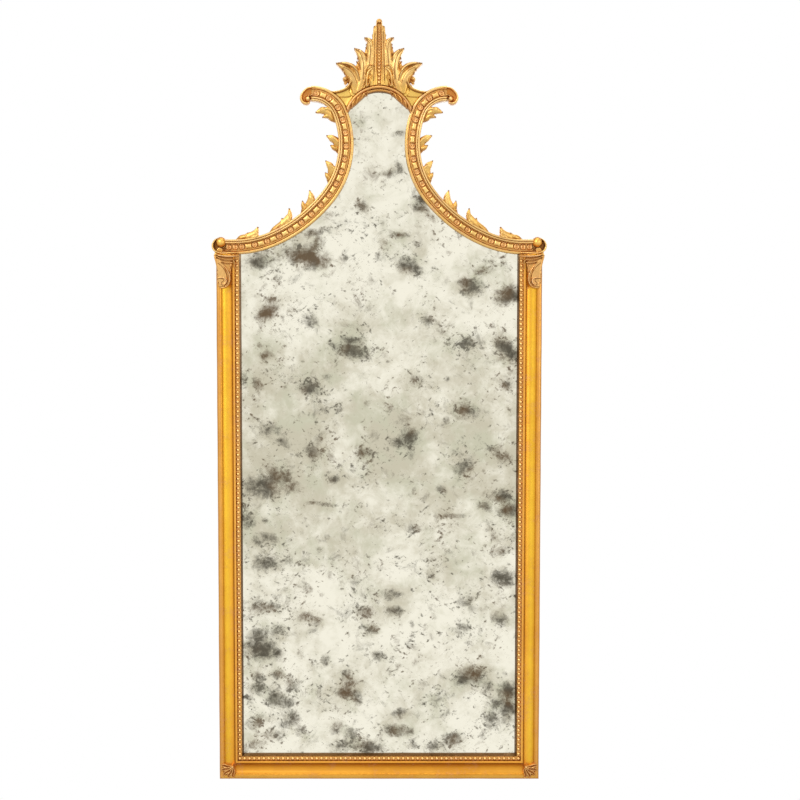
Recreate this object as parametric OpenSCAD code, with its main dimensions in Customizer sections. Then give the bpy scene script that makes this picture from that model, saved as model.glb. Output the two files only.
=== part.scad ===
// A giltwood pier mirror: two beaded stiles and a bottom rail, an ogee head of two carved rails
// that end in scrolls, a small arch between them and a carved leaf crest with a string of pearls.
// Millimetres, +Z up. The wall is behind, on +Y, and the viewer stands on -Y.
// Origin: middle of the bottom rail's underside, on the back plane of the frame.
// Depths are measured forwards from the back plane, so a point at depth d lies at y = -d.

/* [Frame] */
// Width over the two stiles
frame_w = 648; // [560:1:800]
// Height of the stiles, up to the underside of the head
stile_h = 1062; // [800:1:1400]
// Width of the stiles and of the bottom rail
rail_w = 48; // [45:1:60]
// Depth of the stiles and of the bottom rail
rail_d = 36; // [34:1:44]
// Width of the sloping edge next to the glass
bevel_w = 3; // [2.5:0.5:6]
// Width of the flat fillet outside the pearls
fillet_w = 4.5; // [3:0.5:6]

/* [Head rails] */
// Width of a head rail, glass edge to outer edge
head_w = 30; // [27:1:36]
// Depth of a head rail at its outer rim
head_d = 32; // [30:1:40]
// Half of the clear glass width at the neck
neck_half = 50.7; // [46:0.1:60]
// Centreline radius of the first arc above the shoulder
shoulder_r = 200; // [180:1:215]
// Turn of the first arc, degrees
shoulder_turn = 24; // [22:0.5:25]
// Straight run of a head rail beside its shoulder volute
shoulder_run = 26; // [24:0.5:30]
// Turn of the long arc, degrees
haunch_turn = 27; // [25:0.5:28]
// Centreline radius of the neck arc
neck_r = 167.5; // [150:0.5:180]
// Turn of the neck arc, degrees
neck_turn = 60.5; // [57:0.5:62]
// Centreline radius of the top scroll
scroll_r = 59; // [52:0.5:62]
// Turn of the top scroll, degrees
scroll_turn = 81; // [70:0.5:90]
// Radius of the rolled end of the top scroll
eye_r = 15.5; // [12:0.5:17]
// Radius of the shoulder volute
volute_r = 18.4; // [16:0.1:20]
// Radius of the ball in the shoulder volute
ball_r = 10.5; // [8:0.5:11]

/* [Arch] */
// Width of the arch band at the crown
arch_band = 13.5; // [11:0.5:18]
// Width of the arch band at its springing
arch_foot = 4.3; // [3:0.1:6]
// How far the arched glass edge reaches past the neck on each side
arch_side = 15.5; // [14:0.5:18]
// Height of the arch's centre above the narrowest point of the neck
arch_rise = 44; // [38:1:50]
// Width of the raised rim of the arch
arch_rim_w = 6.5; // [4:0.5:8]
// Depth of the raised rim of the arch
arch_d = 31; // [27:1:36]

/* [Crest] */
// Height of the crest above the crown of the arch
crest_h = 128.5; // [115:0.5:150]
// Thickness of the crest's backing panel
crest_panel_d = 20; // [17:1:23]
// Depth of the most raised crest leaves
crest_leaf_d = 36; // [32:1:42]
// Radius of the lowest and largest crest pearl
crest_pearl_r = 3.6; // [3:0.1:4]
// Radius of the topmost crest pearl
crest_pearl_tip_r = 1.7; // [1.4:0.1:2.2]

/* [Carving] */
// Radius of the frame pearls
pearl_r = 3.7; // [3:0.1:4.2]
// Spacing of the frame pearls
pearl_pitch = 9.7; // [9:0.1:12]
// Spacing of the flat pads along a head rail
pad_pitch = 25.9; // [22:0.1:32]
// Side of a flat pad
pad_w = 11; // [9:0.5:12]
// How far the pads stand above their strip
pad_h = 3; // [2:0.5:4]
// Height of a sprig's tip above the rim of the head rail
sprig_h = 21.5; // [16:0.5:26]

/* [Glass and back] */
// Thickness of the mirror plate
plate_t = 4; // [3:0.5:5]
// Width of the glass rebate
plate_rebate = 8; // [6:0.5:9]
// Width of the rebate that holds the back board
board_rebate = 14; // [12:0.5:14]
// Thickness of the back board
board_t = 5; // [4:0.5:6]
// Depth from the back plane to the board's face, inside the frame
board_seat_d = 6; // [5.5:0.1:7]
// Thickness of the felt packing behind the plate
packing_t = 2; // [1:0.5:3]
// Gap round the plate and the board in their rebates
plate_gap = 1; // [0.5:0.1:1.5]
// Shank radius of the back board screws
board_screw_r = 1.6; // [1.3:0.1:2]
// Length of the back board screws
board_screw_l = 12; // [10:1:14]

/* [Hangers] */
// Drop of the hanger pivots below the top of the stiles
hanger_drop = 120; // [80:1:400]
// Length of a hanger strap below its pivot
strap_l = 58; // [50:1:80]
// Width of a hanger strap and of its rolled eye
strap_w = 16; // [12:0.5:18]
// Thickness of a hanger strap
strap_t = 1.6; // [1.2:0.1:2]
// Wire radius of the hanging rings
ring_wire_r = 1.8; // [1.5:0.1:2.2]
// Half of a ring's width, measured on the wire's centreline
ring_half_w = 13; // [12:0.5:14]
// Radius of the elbows of a ring
ring_elbow_r = 4; // [3:0.5:5]
// Shank radius of the hanger screws
hanger_screw_r = 2; // [1.5:0.1:2.5]
// Length of the hanger screws
hanger_screw_l = 20; // [16:1:24]

/* [Joinery] */
// Radius of the dowels between the stiles and the head rails
dowel_r = 4; // [3:0.5:5]
// Length of those dowels
dowel_l = 36; // [30:1:44]
// Radius of the dowels that hold the crest
crest_dowel_r = 3; // [2:0.5:3.5]
// Length of the crest dowels
crest_dowel_l = 32; // [26:1:36]
// Side of the square splines in the bottom mitres
spline_w = 22; // [18:1:26]
// Thickness of those splines
spline_t = 3; // [2:0.5:4]
// Clearance round loose joinery and screws
fit_gap = 0.1; // [0.05:0.01:0.2]
// Running clearance of a ring in its strap
run_gap = 0.05; // [0.02:0.01:0.09]

/* [Hidden] */
$fn = 96;
sides = ["left", "right"];
sight_x = frame_w / 2 - rail_w;
back_cut = 1;

// Depths of the frame moulding
plate_ledge_d = board_seat_d + packing_t + plate_t;
lip_d = plate_ledge_d + 2.5;
pearl_seat_d = rail_d - 12;
pearl_strip_t = 1.5;
pearl_band_w = 2 * pearl_r + 1.2;
fillet_d = rail_d - 5;
groove_w = 1.5;
groove_d = rail_d - 8;
cove_in_d = rail_d - 5.5;
cove_sag = 4.5;
hump_w = 10;
hump_in_d = rail_d - 2;
hump_out_d = rail_d - 5;
hump_rise = 2.6;

// Head rail path: four tangent arcs that all turn the same way, from the shoulder to the scroll.
// A heading is the direction of travel in degrees: 180 runs to the middle, 90 runs straight up.
seg_turn = [shoulder_turn, haunch_turn, neck_turn, scroll_turn];
seg_h = [180, 180 - shoulder_turn, 180 - shoulder_turn - haunch_turn,
    180 - shoulder_turn - haunch_turn - neck_turn,
    180 - shoulder_turn - haunch_turn - neck_turn - scroll_turn];
head_half = head_w / 2;
volute_in = 8;
// The long arc has the radius that lets the head reach from the neck to the shoulder volute
haunch_r = (frame_w / 2 - volute_in - shoulder_run - neck_half - head_half - neck_r + neck_r * sin(seg_h[2])
    - shoulder_r * sin(seg_h[1])) / (sin(seg_h[2]) - sin(seg_h[1]));
seg_r = [shoulder_r, haunch_r, neck_r, scroll_r];
function dir(h) = [-sin(h), cos(h)];
neck_c0 = [neck_half + head_half + neck_r, 0];
haunch_c0 = neck_c0 + (neck_r - haunch_r) * dir(seg_h[2]);
shoulder_c0 = haunch_c0 + (haunch_r - shoulder_r) * dir(seg_h[1]);
scroll_c0 = neck_c0 + (neck_r - scroll_r) * dir(seg_h[3]);
path_z = stile_h + head_half + shoulder_r - shoulder_c0[1];
seg_c = [for (c = [shoulder_c0, haunch_c0, neck_c0, scroll_c0]) c + [0, path_z]];
seg_l = [for (k = [0:3]) seg_r[k] * seg_turn[k] * PI / 180];
path_l = seg_l[0] + seg_l[1] + seg_l[2] + seg_l[3];
path_start = seg_c[0] + shoulder_r * dir(180);
path_end = seg_c[3] + scroll_r * dir(seg_h[4]);

// Heading at a length s along the path, and the point there at a distance off outside the centreline
function path_k(s, k = 0) = k == 3 || s <= seg_l[k] ? [k, s] : path_k(s - seg_l[k], k + 1);
function path_h(s) = let (p = path_k(s)) seg_h[p[0]] - p[1] / seg_r[p[0]] * 180 / PI;
function path_pt(s, off = 0) = let (p = path_k(s)) seg_c[p[0]] + (seg_r[p[0]] - off) * dir(path_h(s));
// The path's edge at a distance off outside the centreline, with an even step along each arc
function path_edge(off, first = 0, last = 3, step = 2) = [
    for (k = [first:last])
        let (n = ceil(seg_turn[k] / step))
        for (i = [k == first ? 0 : 1:n])
            seg_c[k] + (seg_r[k] - off) * dir(seg_h[k] - seg_turn[k] * i / n)];

// Shoulder volute
volute_c = [frame_w / 2 - volute_in, stile_h + volute_r];
volute_d = head_d - 5;
ball_seat_d = volute_d - 4;
ball_c = volute_c + [-(volute_r - ball_r) / 2, (volute_r + ball_r) / 3];

// Scroll eye, tucked inside the end of the top scroll
eye_c = path_end - 3.5 * dir(seg_h[4]);

// Depths across a head rail
channel_d = head_d - 11;
channel_w = head_w - 14;
channel_off = channel_w / 2 + 7 - head_half;
strip_t = 1.5;
joint_lap = 0.05;

// Arch: the glass edge and the outer edge are circles with different centres
neck_z = seg_c[2][1];
arch_glass_r = neck_half + arch_side;
arch_r = arch_glass_r + arch_foot;
arch_c = [0, neck_z + arch_rise];
arch_glass_c = arch_c - [0, arch_band - arch_foot];
arch_base_d = arch_d - 8;
crown_z = arch_c[1] + arch_r;

// The upper one of the two points where two circles cross
function meet(c1, r1, c2, r2) =
    let (v = c2 - c1, l = norm(v), a = (l * l + r1 * r1 - r2 * r2) / (2 * l), h = sqrt(r1 * r1 - a * a))
    c1 + a * v / l + h * [-v[1], v[0]] / l;
// Right half of the glass opening grown by a margin e, from the bottom to the crown
function sight_half(e) =
    let (x = sight_x + e, edge = path_edge(e - head_half, 0, 2),
        j = meet(arch_glass_c, arch_glass_r + e, seg_c[2], neck_r + head_half - e),
        a = atan2(j[1] - arch_glass_c[1], j[0]), n = 12)
    concat([[x, rail_w - e], [x, stile_h + e + stile_top_rise(x, e)]],
        [for (p = edge) if (p[0] < x - 0.5 && (p[1] < neck_z || p[1] < j[1] - 0.5)) p],
        [for (i = [0:n]) arch_glass_c + (arch_glass_r + e) * [cos(a + (90 - a) * i / n), sin(a + (90 - a) * i / n)]]);
// How far the head's glass edge has risen at x above its lowest level
function stile_top_rise(x, e) =
    let (r = shoulder_r + head_half - e, dx = path_start[0] - x)
    dx <= 0 ? 0 : r - sqrt(r * r - dx * dx);
function mirrored(half) = [for (i = [len(half) - 1:-1:0]) [-half[i][0], half[i][1]]];
function sight_outline(e) = let (half = sight_half(e)) concat(half, mirrored(half));

// Back board screws, as points on the board rebate
screw_edge = (plate_rebate + board_rebate) / 2;
stile_screws = 4;
bottom_screws = 3;
head_screw_h = [168, 142, 112, 86];
function head_screw(h) =
    let (k = h > seg_h[1] ? 0 : h > seg_h[2] ? 1 : 2)
    seg_c[k] + (seg_r[k] + head_half - screw_edge) * dir(h);
half_screws = concat(
    [for (i = [1:stile_screws]) [sight_x + screw_edge, rail_w + (stile_h - rail_w) * (i - 0.5) / stile_screws]],
    [for (h = head_screw_h) head_screw(h)]);
screw_points = concat(half_screws, [for (p = half_screws) [-p[0], p[1]]],
    [for (i = [1:bottom_screws]) [sight_x * (2 * i - 1 - bottom_screws) / bottom_screws, rail_w - screw_edge]],
    [[0, arch_glass_c[1] + arch_glass_r + screw_edge]]);
board_screw_head_r = 2 * board_screw_r;

// Hanger places
hanger_x = frame_w / 2 - (rail_w - board_rebate) / 2;
hanger_z = stile_h - hanger_drop;
knuckle_bore_r = ring_wire_r + run_gap;
ring_strap_gap = 0.3;
knuckle_r = knuckle_bore_r + strap_t;
knuckle_y = knuckle_r + ring_strap_gap;
ring_leg = 2;
hanger_screw_head_r = hanger_screw_r + strap_t;
hanger_screw_drops = [13, strap_l - 13];

// Joinery places
dowel_u = 31;
dowel_d = 17;
crest_dowel_in = 25;
crest_dowel_x = neck_half + crest_dowel_in;
crest_dowel_d = 10;
spline_d = 15;
corner_bud_u = 19;

// ---- helpers ----

module on_side(side) {
    if (side == "left")
        mirror([1, 0, 0]) children();
    else
        children();
}

// Extrudes a shape drawn in x and z, from one depth to another
module slab(d0, d1) {
    translate([0, -d0, 0])
        rotate([90, 0, 0])
            linear_extrude(d1 - d0)
                children();
}

// Turns a shape drawn as (radius, depth) about an axis that runs from front to back
module turned(c, a0 = 0, sweep = 360) {
    translate([c[0], 0, c[1]])
        rotate([90, 0, 0])
            rotate_extrude(angle = sweep, start = a0)
                children();
}

// A hole or a pin that runs from front to back
module stud(p, r, d0, d1) {
    translate([p[0], -d0, p[1]])
        rotate([90, 0, 0])
            cylinder(r = r, h = d1 - d0);
}

// Points on a circular arc from p to q that bulges to the left of the way by rise
function arc_between(p, q, rise, n) =
    let (v = q - p, l = norm(v), s = sign(rise), r = (l * l / 4 + rise * rise) / (2 * abs(rise)),
        c = (p + q) / 2 + [-v[1], v[0]] / l * (rise - s * r), a0 = atan2(p[1] - c[1], p[0] - c[0]),
        turn = 2 * asin(l / 2 / r))
    [for (i = [0:n]) c + r * [cos(a0 - s * turn * i / n), sin(a0 - s * turn * i / n)]];

function bezier(b, t) =
    b[0] * pow(1 - t, 3) + 3 * b[1] * t * pow(1 - t, 2) + 3 * b[2] * t * t * (1 - t) + b[3] * pow(t, 3);
function bezier_dir(b, t) =
    let (v = (b[1] - b[0]) * pow(1 - t, 2) + 2 * (b[2] - b[1]) * t * (1 - t) + (b[3] - b[2]) * t * t)
    v / norm(v);
function mix(a, b, t) = a + (b - a) * t;

// One carved leaf lobe, lofted along a curve b in x and z. Its half width runs from w[0] through
// w[1] at the middle to w[2] at the tip, it stands between depths d[0] and d[1], a gutter runs
// along its middle, and its tip lifts off the ground by lift.
module lobe(b, w, d, lift = 0, rings = 7) {
    side_share = 0.5;
    shoulder_share = 0.55;
    gutter = 0.18;
    fade = 0.35;
    section = function(t)
        let (c = bezier(b, t), v = bezier_dir(b, t), across = [-v[1], v[0]],
            hw = mix(w[0], w[2], t) + (w[1] - (w[0] + w[2]) / 2) * sin(180 * t),
            low = d[0] + lift * t * t * t, high = mix(d[1], max(low + 2, d[1] * (1 - fade * 0.3)), t * t) + lift * t * t * 0.4,
            rise = high - low)
        [for (q = [[-1, 0], [-1, side_share], [-shoulder_share, 1], [0, 1 - gutter],
                [shoulder_share, 1], [1, side_share], [1, 0]])
            let (p = c + across * hw * q[0]) [p[0], -(low + rise * q[1]), p[1]]];
    m = 7;
    points = [for (i = [0:rings]) each section(i / rings)];
    skin = [for (i = [0:rings - 1]) for (j = [0:m - 1])
        let (a = i * m + j, e = i * m + (j + 1) % m) each [[a, e, e + m], [a, e + m, a + m]]];
    start_cap = [for (j = [1:m - 2]) [0, j + 1, j]];
    end_cap = [for (j = [1:m - 2]) [rings * m, rings * m + j, rings * m + j + 1]];
    polyhedron(points, concat(skin, start_cap, end_cap), convexity = 6);
}

// ---- cut-outs shared by the frame pieces ----

module rebates() {
    slab(-back_cut, plate_ledge_d) polygon(sight_outline(plate_rebate));
    slab(-back_cut, board_seat_d) polygon(sight_outline(board_rebate));
}

module screw_holes() {
    for (p = screw_points)
        stud(p, board_screw_r + fit_gap, -back_cut, board_seat_d - board_t + board_screw_l + fit_gap);
}

module hanger_holes() {
    for (drop = hanger_screw_drops)
        stud([hanger_x, hanger_z - drop], hanger_screw_r + fit_gap, -back_cut, hanger_screw_l - strap_t + fit_gap);
}

module stile_dowel(gap) {
    translate([sight_x + dowel_u, -dowel_d, stile_h - dowel_l * 0.6 - gap])
        cylinder(r = dowel_r + gap, h = dowel_l + 2 * gap);
}

module crest_dowel(gap) {
    translate([crest_dowel_x, -crest_dowel_d, crest_joint_z() - crest_dowel_l / 2 - gap])
        cylinder(r = crest_dowel_r + gap, h = crest_dowel_l + 2 * gap);
}
// Height of the scroll's top edge above the crest dowel
function crest_joint_z() =
    let (r = scroll_r + head_half, dx = seg_c[3][0] - crest_dowel_x) seg_c[3][1] + sqrt(r * r - dx * dx);

module mitre_spline(gap) {
    translate([sight_x + dowel_u, -spline_d, rail_w - dowel_u])
        rotate([0, 45, 0])
            cube([spline_w + 2 * gap, spline_t + 2 * gap, spline_w + 2 * gap], center = true);
}

// Front outline of the right head rail, for what stops against it
module head_rail_ground(d0, d1) {
    tail = volute_c[0] + volute_r;
    slab(d0, d1)
        polygon(concat([[tail, path_start[1] - head_half]], path_edge(-head_half),
            mirrored_order(path_edge(head_half)), [[tail, path_start[1] + head_half]]));
}
function mirrored_order(pts) = [for (i = [len(pts) - 1:-1:0]) pts[i]];

// ---- frame ----

// Section of the stiles and the bottom rail: u runs from the glass edge outwards
function rail_section() =
    let (fillet_u = bevel_w + pearl_band_w, groove_u = fillet_u + fillet_w, cove_u = groove_u + groove_w)
    concat([[0, 0], [0, lip_d], [bevel_w, pearl_seat_d], [fillet_u, pearl_seat_d], [fillet_u, fillet_d],
            [groove_u, fillet_d], [groove_u, groove_d], [cove_u, groove_d]],
        arc_between([cove_u, cove_in_d], [rail_w - hump_w, hump_in_d], -cove_sag, 8),
        arc_between([rail_w - hump_w + 0.5, hump_in_d + 0.3], [rail_w, hump_out_d], hump_rise, 6),
        [[rail_w, 0]]);

module stile_blank() {
    translate([sight_x, 0, 0])
        linear_extrude(stile_h + head_half)
            polygon([for (p = rail_section()) [p[0], -p[1]]]);
}

// The corner on one side of the bottom mitre: the stile's, or the bottom rail's
module mitre_corner(stile_side) {
    corner = stile_side ? [frame_w / 2 + 1, rail_w + 1] : [sight_x - 1, -1];
    slab(-back_cut, rail_d + 1)
        polygon([[sight_x - 1, rail_w + 1], [frame_w / 2 + 1, -1], corner]);
}

module right_side_stile() {
    difference() {
        stile_blank();
        mitre_corner(false);
        head_rail_ground(-back_cut, rail_d + 1);
        rebates();
        screw_holes();
        hanger_holes();
        stile_dowel(fit_gap);
        mitre_spline(fit_gap);
    }
}

module stile(side) {
    color("goldenrod") on_side(side) right_side_stile();
}

module bottom_rail() {
    color("goldenrod")
        difference() {
            rotate([90, 0, 90])
                translate([0, 0, -frame_w / 2])
                    linear_extrude(frame_w)
                        polygon([for (p = rail_section()) [-p[1], rail_w - p[0]]]);
            for (side = sides)
                on_side(side) {
                    mitre_corner(true);
                    mitre_spline(fit_gap);
                }
            rebates();
            screw_holes();
        }
}

// Section of a head rail: w runs from the outer edge at -half to the glass edge at +half
function head_section() =
    let (lip = head_half - 6, rim = -head_half + 7)
    concat([[head_half, 0]],
        arc_between([head_half, head_d - 12], [lip, head_d - 9], -2.5, 4),
        [[lip - 1, channel_d], [lip - 1 - channel_w, channel_d], [rim - 0.3, head_d - 5]],
        arc_between([rim - 0.5, head_d - 4], [rim - 3, head_d - 4], -1, 3),
        [[rim - 3.4, head_d - 5]],
        arc_between([rim - 3.6, head_d - 4], [-head_half, head_d - 5], -1.6, 4),
        [[-head_half, 0]]);

// One arc of the path, swept with a section; the ends can be pulled in by a length along the path
module head_arc(k, first = 0, last = 0) {
    degrees = 180 / PI / seg_r[k];
    lap = k < 3 ? joint_lap : 0;
    turned(seg_c[k], seg_h[k + 1] + 90 + last * degrees - lap, seg_turn[k] - (first + last) * degrees + lap)
        translate([seg_r[k], 0])
            children();
}

module scroll_eye() {
    turned(eye_c)
        polygon(concat([[0, 0], [0, head_d - 3], [4, head_d - 3.5], [6, head_d - 7], [8.5, head_d - 7]],
            arc_between([9.5, head_d - 4], [eye_r, head_d - 6], 2.2, 5),
            [[eye_r, 0]]));
}

module volute() {
    turned(volute_c)
        polygon([[0, 0], [0, volute_d - 4], [ball_r + 4, volute_d - 4], [ball_r + 5.5, volute_d],
            [volute_r - 1.5, volute_d], [volute_r, volute_d - 2], [volute_r, 0]]);
}

module head_rail(side) {
    color("gold") on_side(side)
        difference() {
            union() {
                for (k = [0:3])
                    head_arc(k) polygon(head_section());
                translate([path_start[0], 0, path_start[1]])
                    rotate([90, 0, 90])
                        linear_extrude(volute_c[0] - path_start[0])
                            polygon([for (p = head_section()) [-p[1], -p[0]]]);
                scroll_eye();
                volute();
            }
            turned(ball_c)
                translate([0, ball_seat_d])
                    square([ball_r + 1.2, head_d]);
            rebates();
            screw_holes();
            stile_dowel(fit_gap);
            crest_dowel(fit_gap);
        }
}

// Carved strip in the channel of a head rail: flat pads with a reeded cell between each two
module head_enrichment(side) {
    strip_first = 3.7;
    strip_end = eye_r + 1;
    cell_half = 4;
    cells = floor((path_l - strip_end - strip_first - cell_half) / pad_pitch + 0.5);
    foot = channel_d + strip_t / 2;
    seat = channel_d + strip_t;
    bar_w = 1.6;
    bar_l = 8;
    strip_half = channel_w / 2 - fit_gap;
    color("khaki") on_side(side) {
        for (k = [0:3])
            head_arc(k, k == 0 ? strip_first : 0, k == 3 ? strip_end : 0)
                translate([-channel_off - strip_half, channel_d])
                    square([2 * strip_half, strip_t]);
        for (i = [0:cells - 1])
            for (b = [-1:1])
                on_path(strip_first + (i + 0.5) * pad_pitch + b * (cell_half - bar_w / 2 - 0.2), channel_off)
                    slab(foot, seat + pad_h - 0.8)
                        square([bar_w, bar_l], center = true);
        for (i = [1:cells - 1])
            on_path(strip_first + i * pad_pitch, channel_off) slab(foot, seat + pad_h)
                square([pad_w, pad_w], center = true);
    }
}

// Stands something on the head rail's path: x runs along it, z runs outwards
module on_path(s, off = 0) {
    p = path_pt(s, off);
    translate([p[0], 0, p[1]])
        rotate([0, 180 - path_h(s), 0])
            children();
}

// ---- arch and crest ----

module arch_region() {
    slab(-back_cut, crest_leaf_d + 10)
        translate([-arch_r - 1, arch_c[1]])
            square([2 * arch_r + 2, arch_r + 2]);
}

module crest_arch() {
    color("gold")
        difference() {
            intersection() {
                union() {
                    slab(0, arch_base_d)
                        difference() {
                            translate(arch_c) circle(arch_r);
                            translate(arch_glass_c) circle(arch_glass_r);
                        }
                    turned(arch_c)
                        polygon(concat([[arch_r - arch_rim_w, arch_base_d - 1], [arch_r - arch_rim_w, arch_d - 3]],
                            arc_between([arch_r - arch_rim_w + 0.5, arch_d - 2], [arch_r - 0.5, arch_d - 2], 2, 6),
                            [[arch_r, arch_d - 3], [arch_r, arch_base_d - 1]]));
                }
                arch_region();
            }
            for (side = sides)
                on_side(side) head_rail_ground(-back_cut, crest_leaf_d + 10);
            rebates();
            screw_holes();
        }
}

// Three small leaves between the arch's rim and the glass
module arch_leaf(side) {
    color("gold") on_side(side)
        difference() {
            for (a = [58, 46, 34])
                let (r = arch_glass_r, u = [cos(a), sin(a)], v = [sin(a), -cos(a)])
                lobe([for (q = [[2.6, -4], [3, 0], [1, 4], [-3.4, 6]]) arch_glass_c + u * (r + q[0]) + v * q[1]],
                    [1.6, 2.6, 0.8], [arch_base_d, arch_base_d + 5], 0, 5);
            turned(arch_c)
                translate([arch_r - arch_rim_w, 0])
                    square([2 * arch_rim_w, arch_d]);
        }
}

// The crest is drawn in steps from the crown of an arch of this radius, this far below its top
crest_wide = arch_r / 70.5;
crest_tall = crest_h / 130;
function crest_point(p) = [p[0] * crest_wide, crown_z + p[1] * (p[1] > 0 ? crest_tall : crest_wide)];

// Right half of the crest's backing panel, from the arch to the top, as steps above the crown
crest_steps = [[0, -30], [58, -50], [100, -24], [97, -9.5], [75, 0], [73, 22], [79, 39], [62, 38], [50, 44],
    [45, 65], [35, 62], [29, 68], [25, 86], [16, 86], [11, 104], [6, 122], [4, 128], [0, 128]];

module crest_panel() {
    half = [for (p = crest_steps) crest_point(p)];
    color("gold")
        difference() {
            slab(0, crest_panel_d)
                difference() {
                    polygon(concat(half, mirrored(half)));
                    translate(arch_c) circle(arch_r);
                }
            for (side = sides)
                on_side(side) {
                    head_rail_ground(-back_cut, crest_panel_d + 1);
                    crest_dowel(fit_gap);
                }
            rebates();
        }
}

// Lobes of the crest's right half, as steps above the crown: curve, half widths, depths, tip lift
crest_lobes = [
    [[[43, 0], [47, 22], [60, 41], [84, 45]], [6, 11.5, 1.2], [0, 0.8], 5],
    [[[30, 10], [29, 44], [34, 65], [48.5, 73.5]], [6, 9.5, 1], [0, 0.9], 4],
    [[[17, 30], [13, 62], [15, 87], [28, 94.5]], [5, 8, 1], [0, 0.9], 3],
    [[[36, 2], [22, 22], [28, 42], [9.5, 39]], [3.4, 4, 1.2], [0.1, 1], 0],
    [[[28, 3], [18, 10], [24, 23], [14, 20]], [2.6, 3, 1], [0.1, 0.9], 0],
    [[[61, 16], [46, 3], [60, -14], [93, -8.5]], [4.5, 6, 1.6], [0, 0.75], 0],
    [[[14.5, 3], [13, 50], [9, 100], [5.5, 122]], [3.4, 3.6, 1.6], [0, 0.8], 0]];

module crest_leaves() {
    relief = crest_leaf_d - crest_panel_d;
    color("gold") {
        for (side = sides)
            on_side(side) {
                for (l = crest_lobes)
                    lobe([for (p = l[0]) crest_point(p)], l[1],
                        [crest_panel_d + relief * l[2][0], crest_panel_d + relief * l[2][1]], l[3]);
                turned(crest_point([67.5, 12]))
                    polygon(concat([[0, crest_panel_d]], arc_between([0, crest_panel_d + 7], [6.5, crest_panel_d], 2, 6)));
            }
        turned(crest_point([0, 124]))
            polygon(concat([[0, crest_panel_d]], arc_between([0, crest_panel_d + 7], [6, crest_panel_d], 2.5, 6)));
    }
}

// Crest pearls shrink evenly towards the top, each one almost touching the next
function crest_pearl(i, z = 0) =
    let (share = z / (crest_h - 16), r = mix(crest_pearl_r, crest_pearl_tip_r, share))
    z > crest_h - 16 ? [] : concat([[z + r, r]], crest_pearl(i + 1, z + 2 * r + 0.5));

module crest_pearls() {
    seat = crest_panel_d + 4;
    color("gold") {
        slab(crest_panel_d, seat)
            polygon([for (q = [[-1, 0, crest_pearl_r], [1, 0, crest_pearl_r], [1, 1, crest_pearl_tip_r], [-1, 1, crest_pearl_tip_r]])
                [q[0] * (q[2] + 1), crown_z + 1 + q[1] * (crest_h - 15)]]);
        for (p = crest_pearl(0))
            translate([0, -seat, crown_z + 2 + p[0]])
                rotate([90, 0, 0])
                    rotate_extrude()
                        intersection() {
                            circle(p[1]);
                            square(2 * p[1]);
                        }
    }
}

// ---- pearls, balls and leaves ----

module pearl() {
    rotate([90, 0, 0])
        rotate_extrude()
            intersection() {
                circle(pearl_r);
                square(2 * pearl_r);
            }
}

pearl_u = bevel_w + pearl_band_w / 2;
pearl_strip_w = pearl_band_w - 2 * fit_gap;
pearl_top_d = pearl_seat_d + pearl_strip_t;

module pearl_string(side) {
    foot = rail_w - pearl_u + pearl_pitch / 2;
    length = stile_h - foot - fit_gap;
    count = floor(length / pearl_pitch);
    color("gold") on_side(side)
        translate([sight_x + pearl_u, 0, foot]) {
            translate([-pearl_strip_w / 2, -pearl_top_d, 0])
                cube([pearl_strip_w, pearl_strip_t, length]);
            for (i = [0:count - 1])
                translate([0, -pearl_top_d, (i + 0.5) * pearl_pitch])
                    pearl();
        }
}

module bottom_pearl_string() {
    span = 2 * (sight_x + pearl_u);
    count = round(span / pearl_pitch);
    pitch = span / count;
    color("gold")
        translate([0, -pearl_top_d, rail_w - pearl_u]) {
            translate([-span / 2 - pearl_strip_w / 2, 0, -pearl_strip_w / 2])
                cube([span + pearl_strip_w, pearl_strip_t, pearl_strip_w - fit_gap]);
            for (i = [0:count])
                translate([(i - count / 2) * pitch, 0, 0])
                    pearl();
        }
}

module shoulder_ball(side) {
    color("gold") on_side(side)
        turned(ball_c)
            intersection() {
                translate([0, volute_d - 2]) circle(ball_r);
                translate([0, ball_seat_d]) square([ball_r + 1, 2 * ball_r]);
            }
}

// The shoulder leaf stands on the moulding, so the moulding's shape is cut out of its back
module shoulder_leaf(side) {
    z = stile_h;
    x = frame_w / 2;
    color("gold") on_side(side)
        difference() {
            union() {
                lobe([[x - 10, z - 56], [x - 1, z - 44], [x - 4, z - 20], [x + 4, z - 4]],
                    [5, 7, 3.5], [24, rail_d + 5], 0);
                lobe([[x - 18, z - 62], [x - 30, z - 46], [x - 18, z - 22], [x - 6, z - 6]],
                    [3, 3.5, 2], [24, rail_d + 6.5], 0);
                lobe([[x - 18, z - 30], [x - 20, z - 20], [x - 24, z - 12], [x - 27, z - 4]],
                    [3, 4.5, 2], [24, rail_d + 4], 0);
                turned([x - 15, z - 53])
                    polygon(concat([[0, 24]], arc_between([0, rail_d + 6], [10, rail_d], 2.5, 6), [[10, 24]]));
            }
            stile_blank();
            head_rail_ground(-back_cut, crest_leaf_d + 10);
        }
}

// Corner leaf: a fan of lobes from a bud on the mitre
module corner_leaf(side) {
    x = sight_x + corner_bud_u;
    z = rail_w - corner_bud_u;
    color("gold") on_side(side)
        difference() {
            union() {
                for (a = [-2, 22, 45, 68, 92])
                    let (r = 27 - 3 * abs(a - 45) / 45)
                    lobe([for (q = [[0, 0], [0.35, 6], [0.7, -6], [1, 0]])
                        [x + r * q[0] * cos(a + q[1]), z - r * q[0] * sin(a + q[1])]],
                        [2.5, 4.6, 2], [24, rail_d + 4.5], 0, 6);
                turned([x + 1, z - 1])
                    polygon(concat([[0, 24]], arc_between([0, rail_d + 5.5], [5, rail_d], 1.5, 5), [[5, 24]]));
            }
            stile_blank();
            rotate([90, 0, 90])
                translate([0, 0, -frame_w / 2])
                    linear_extrude(frame_w)
                        polygon([for (p = rail_section()) [-p[1], rail_w - p[0]]]);
        }
}

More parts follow.
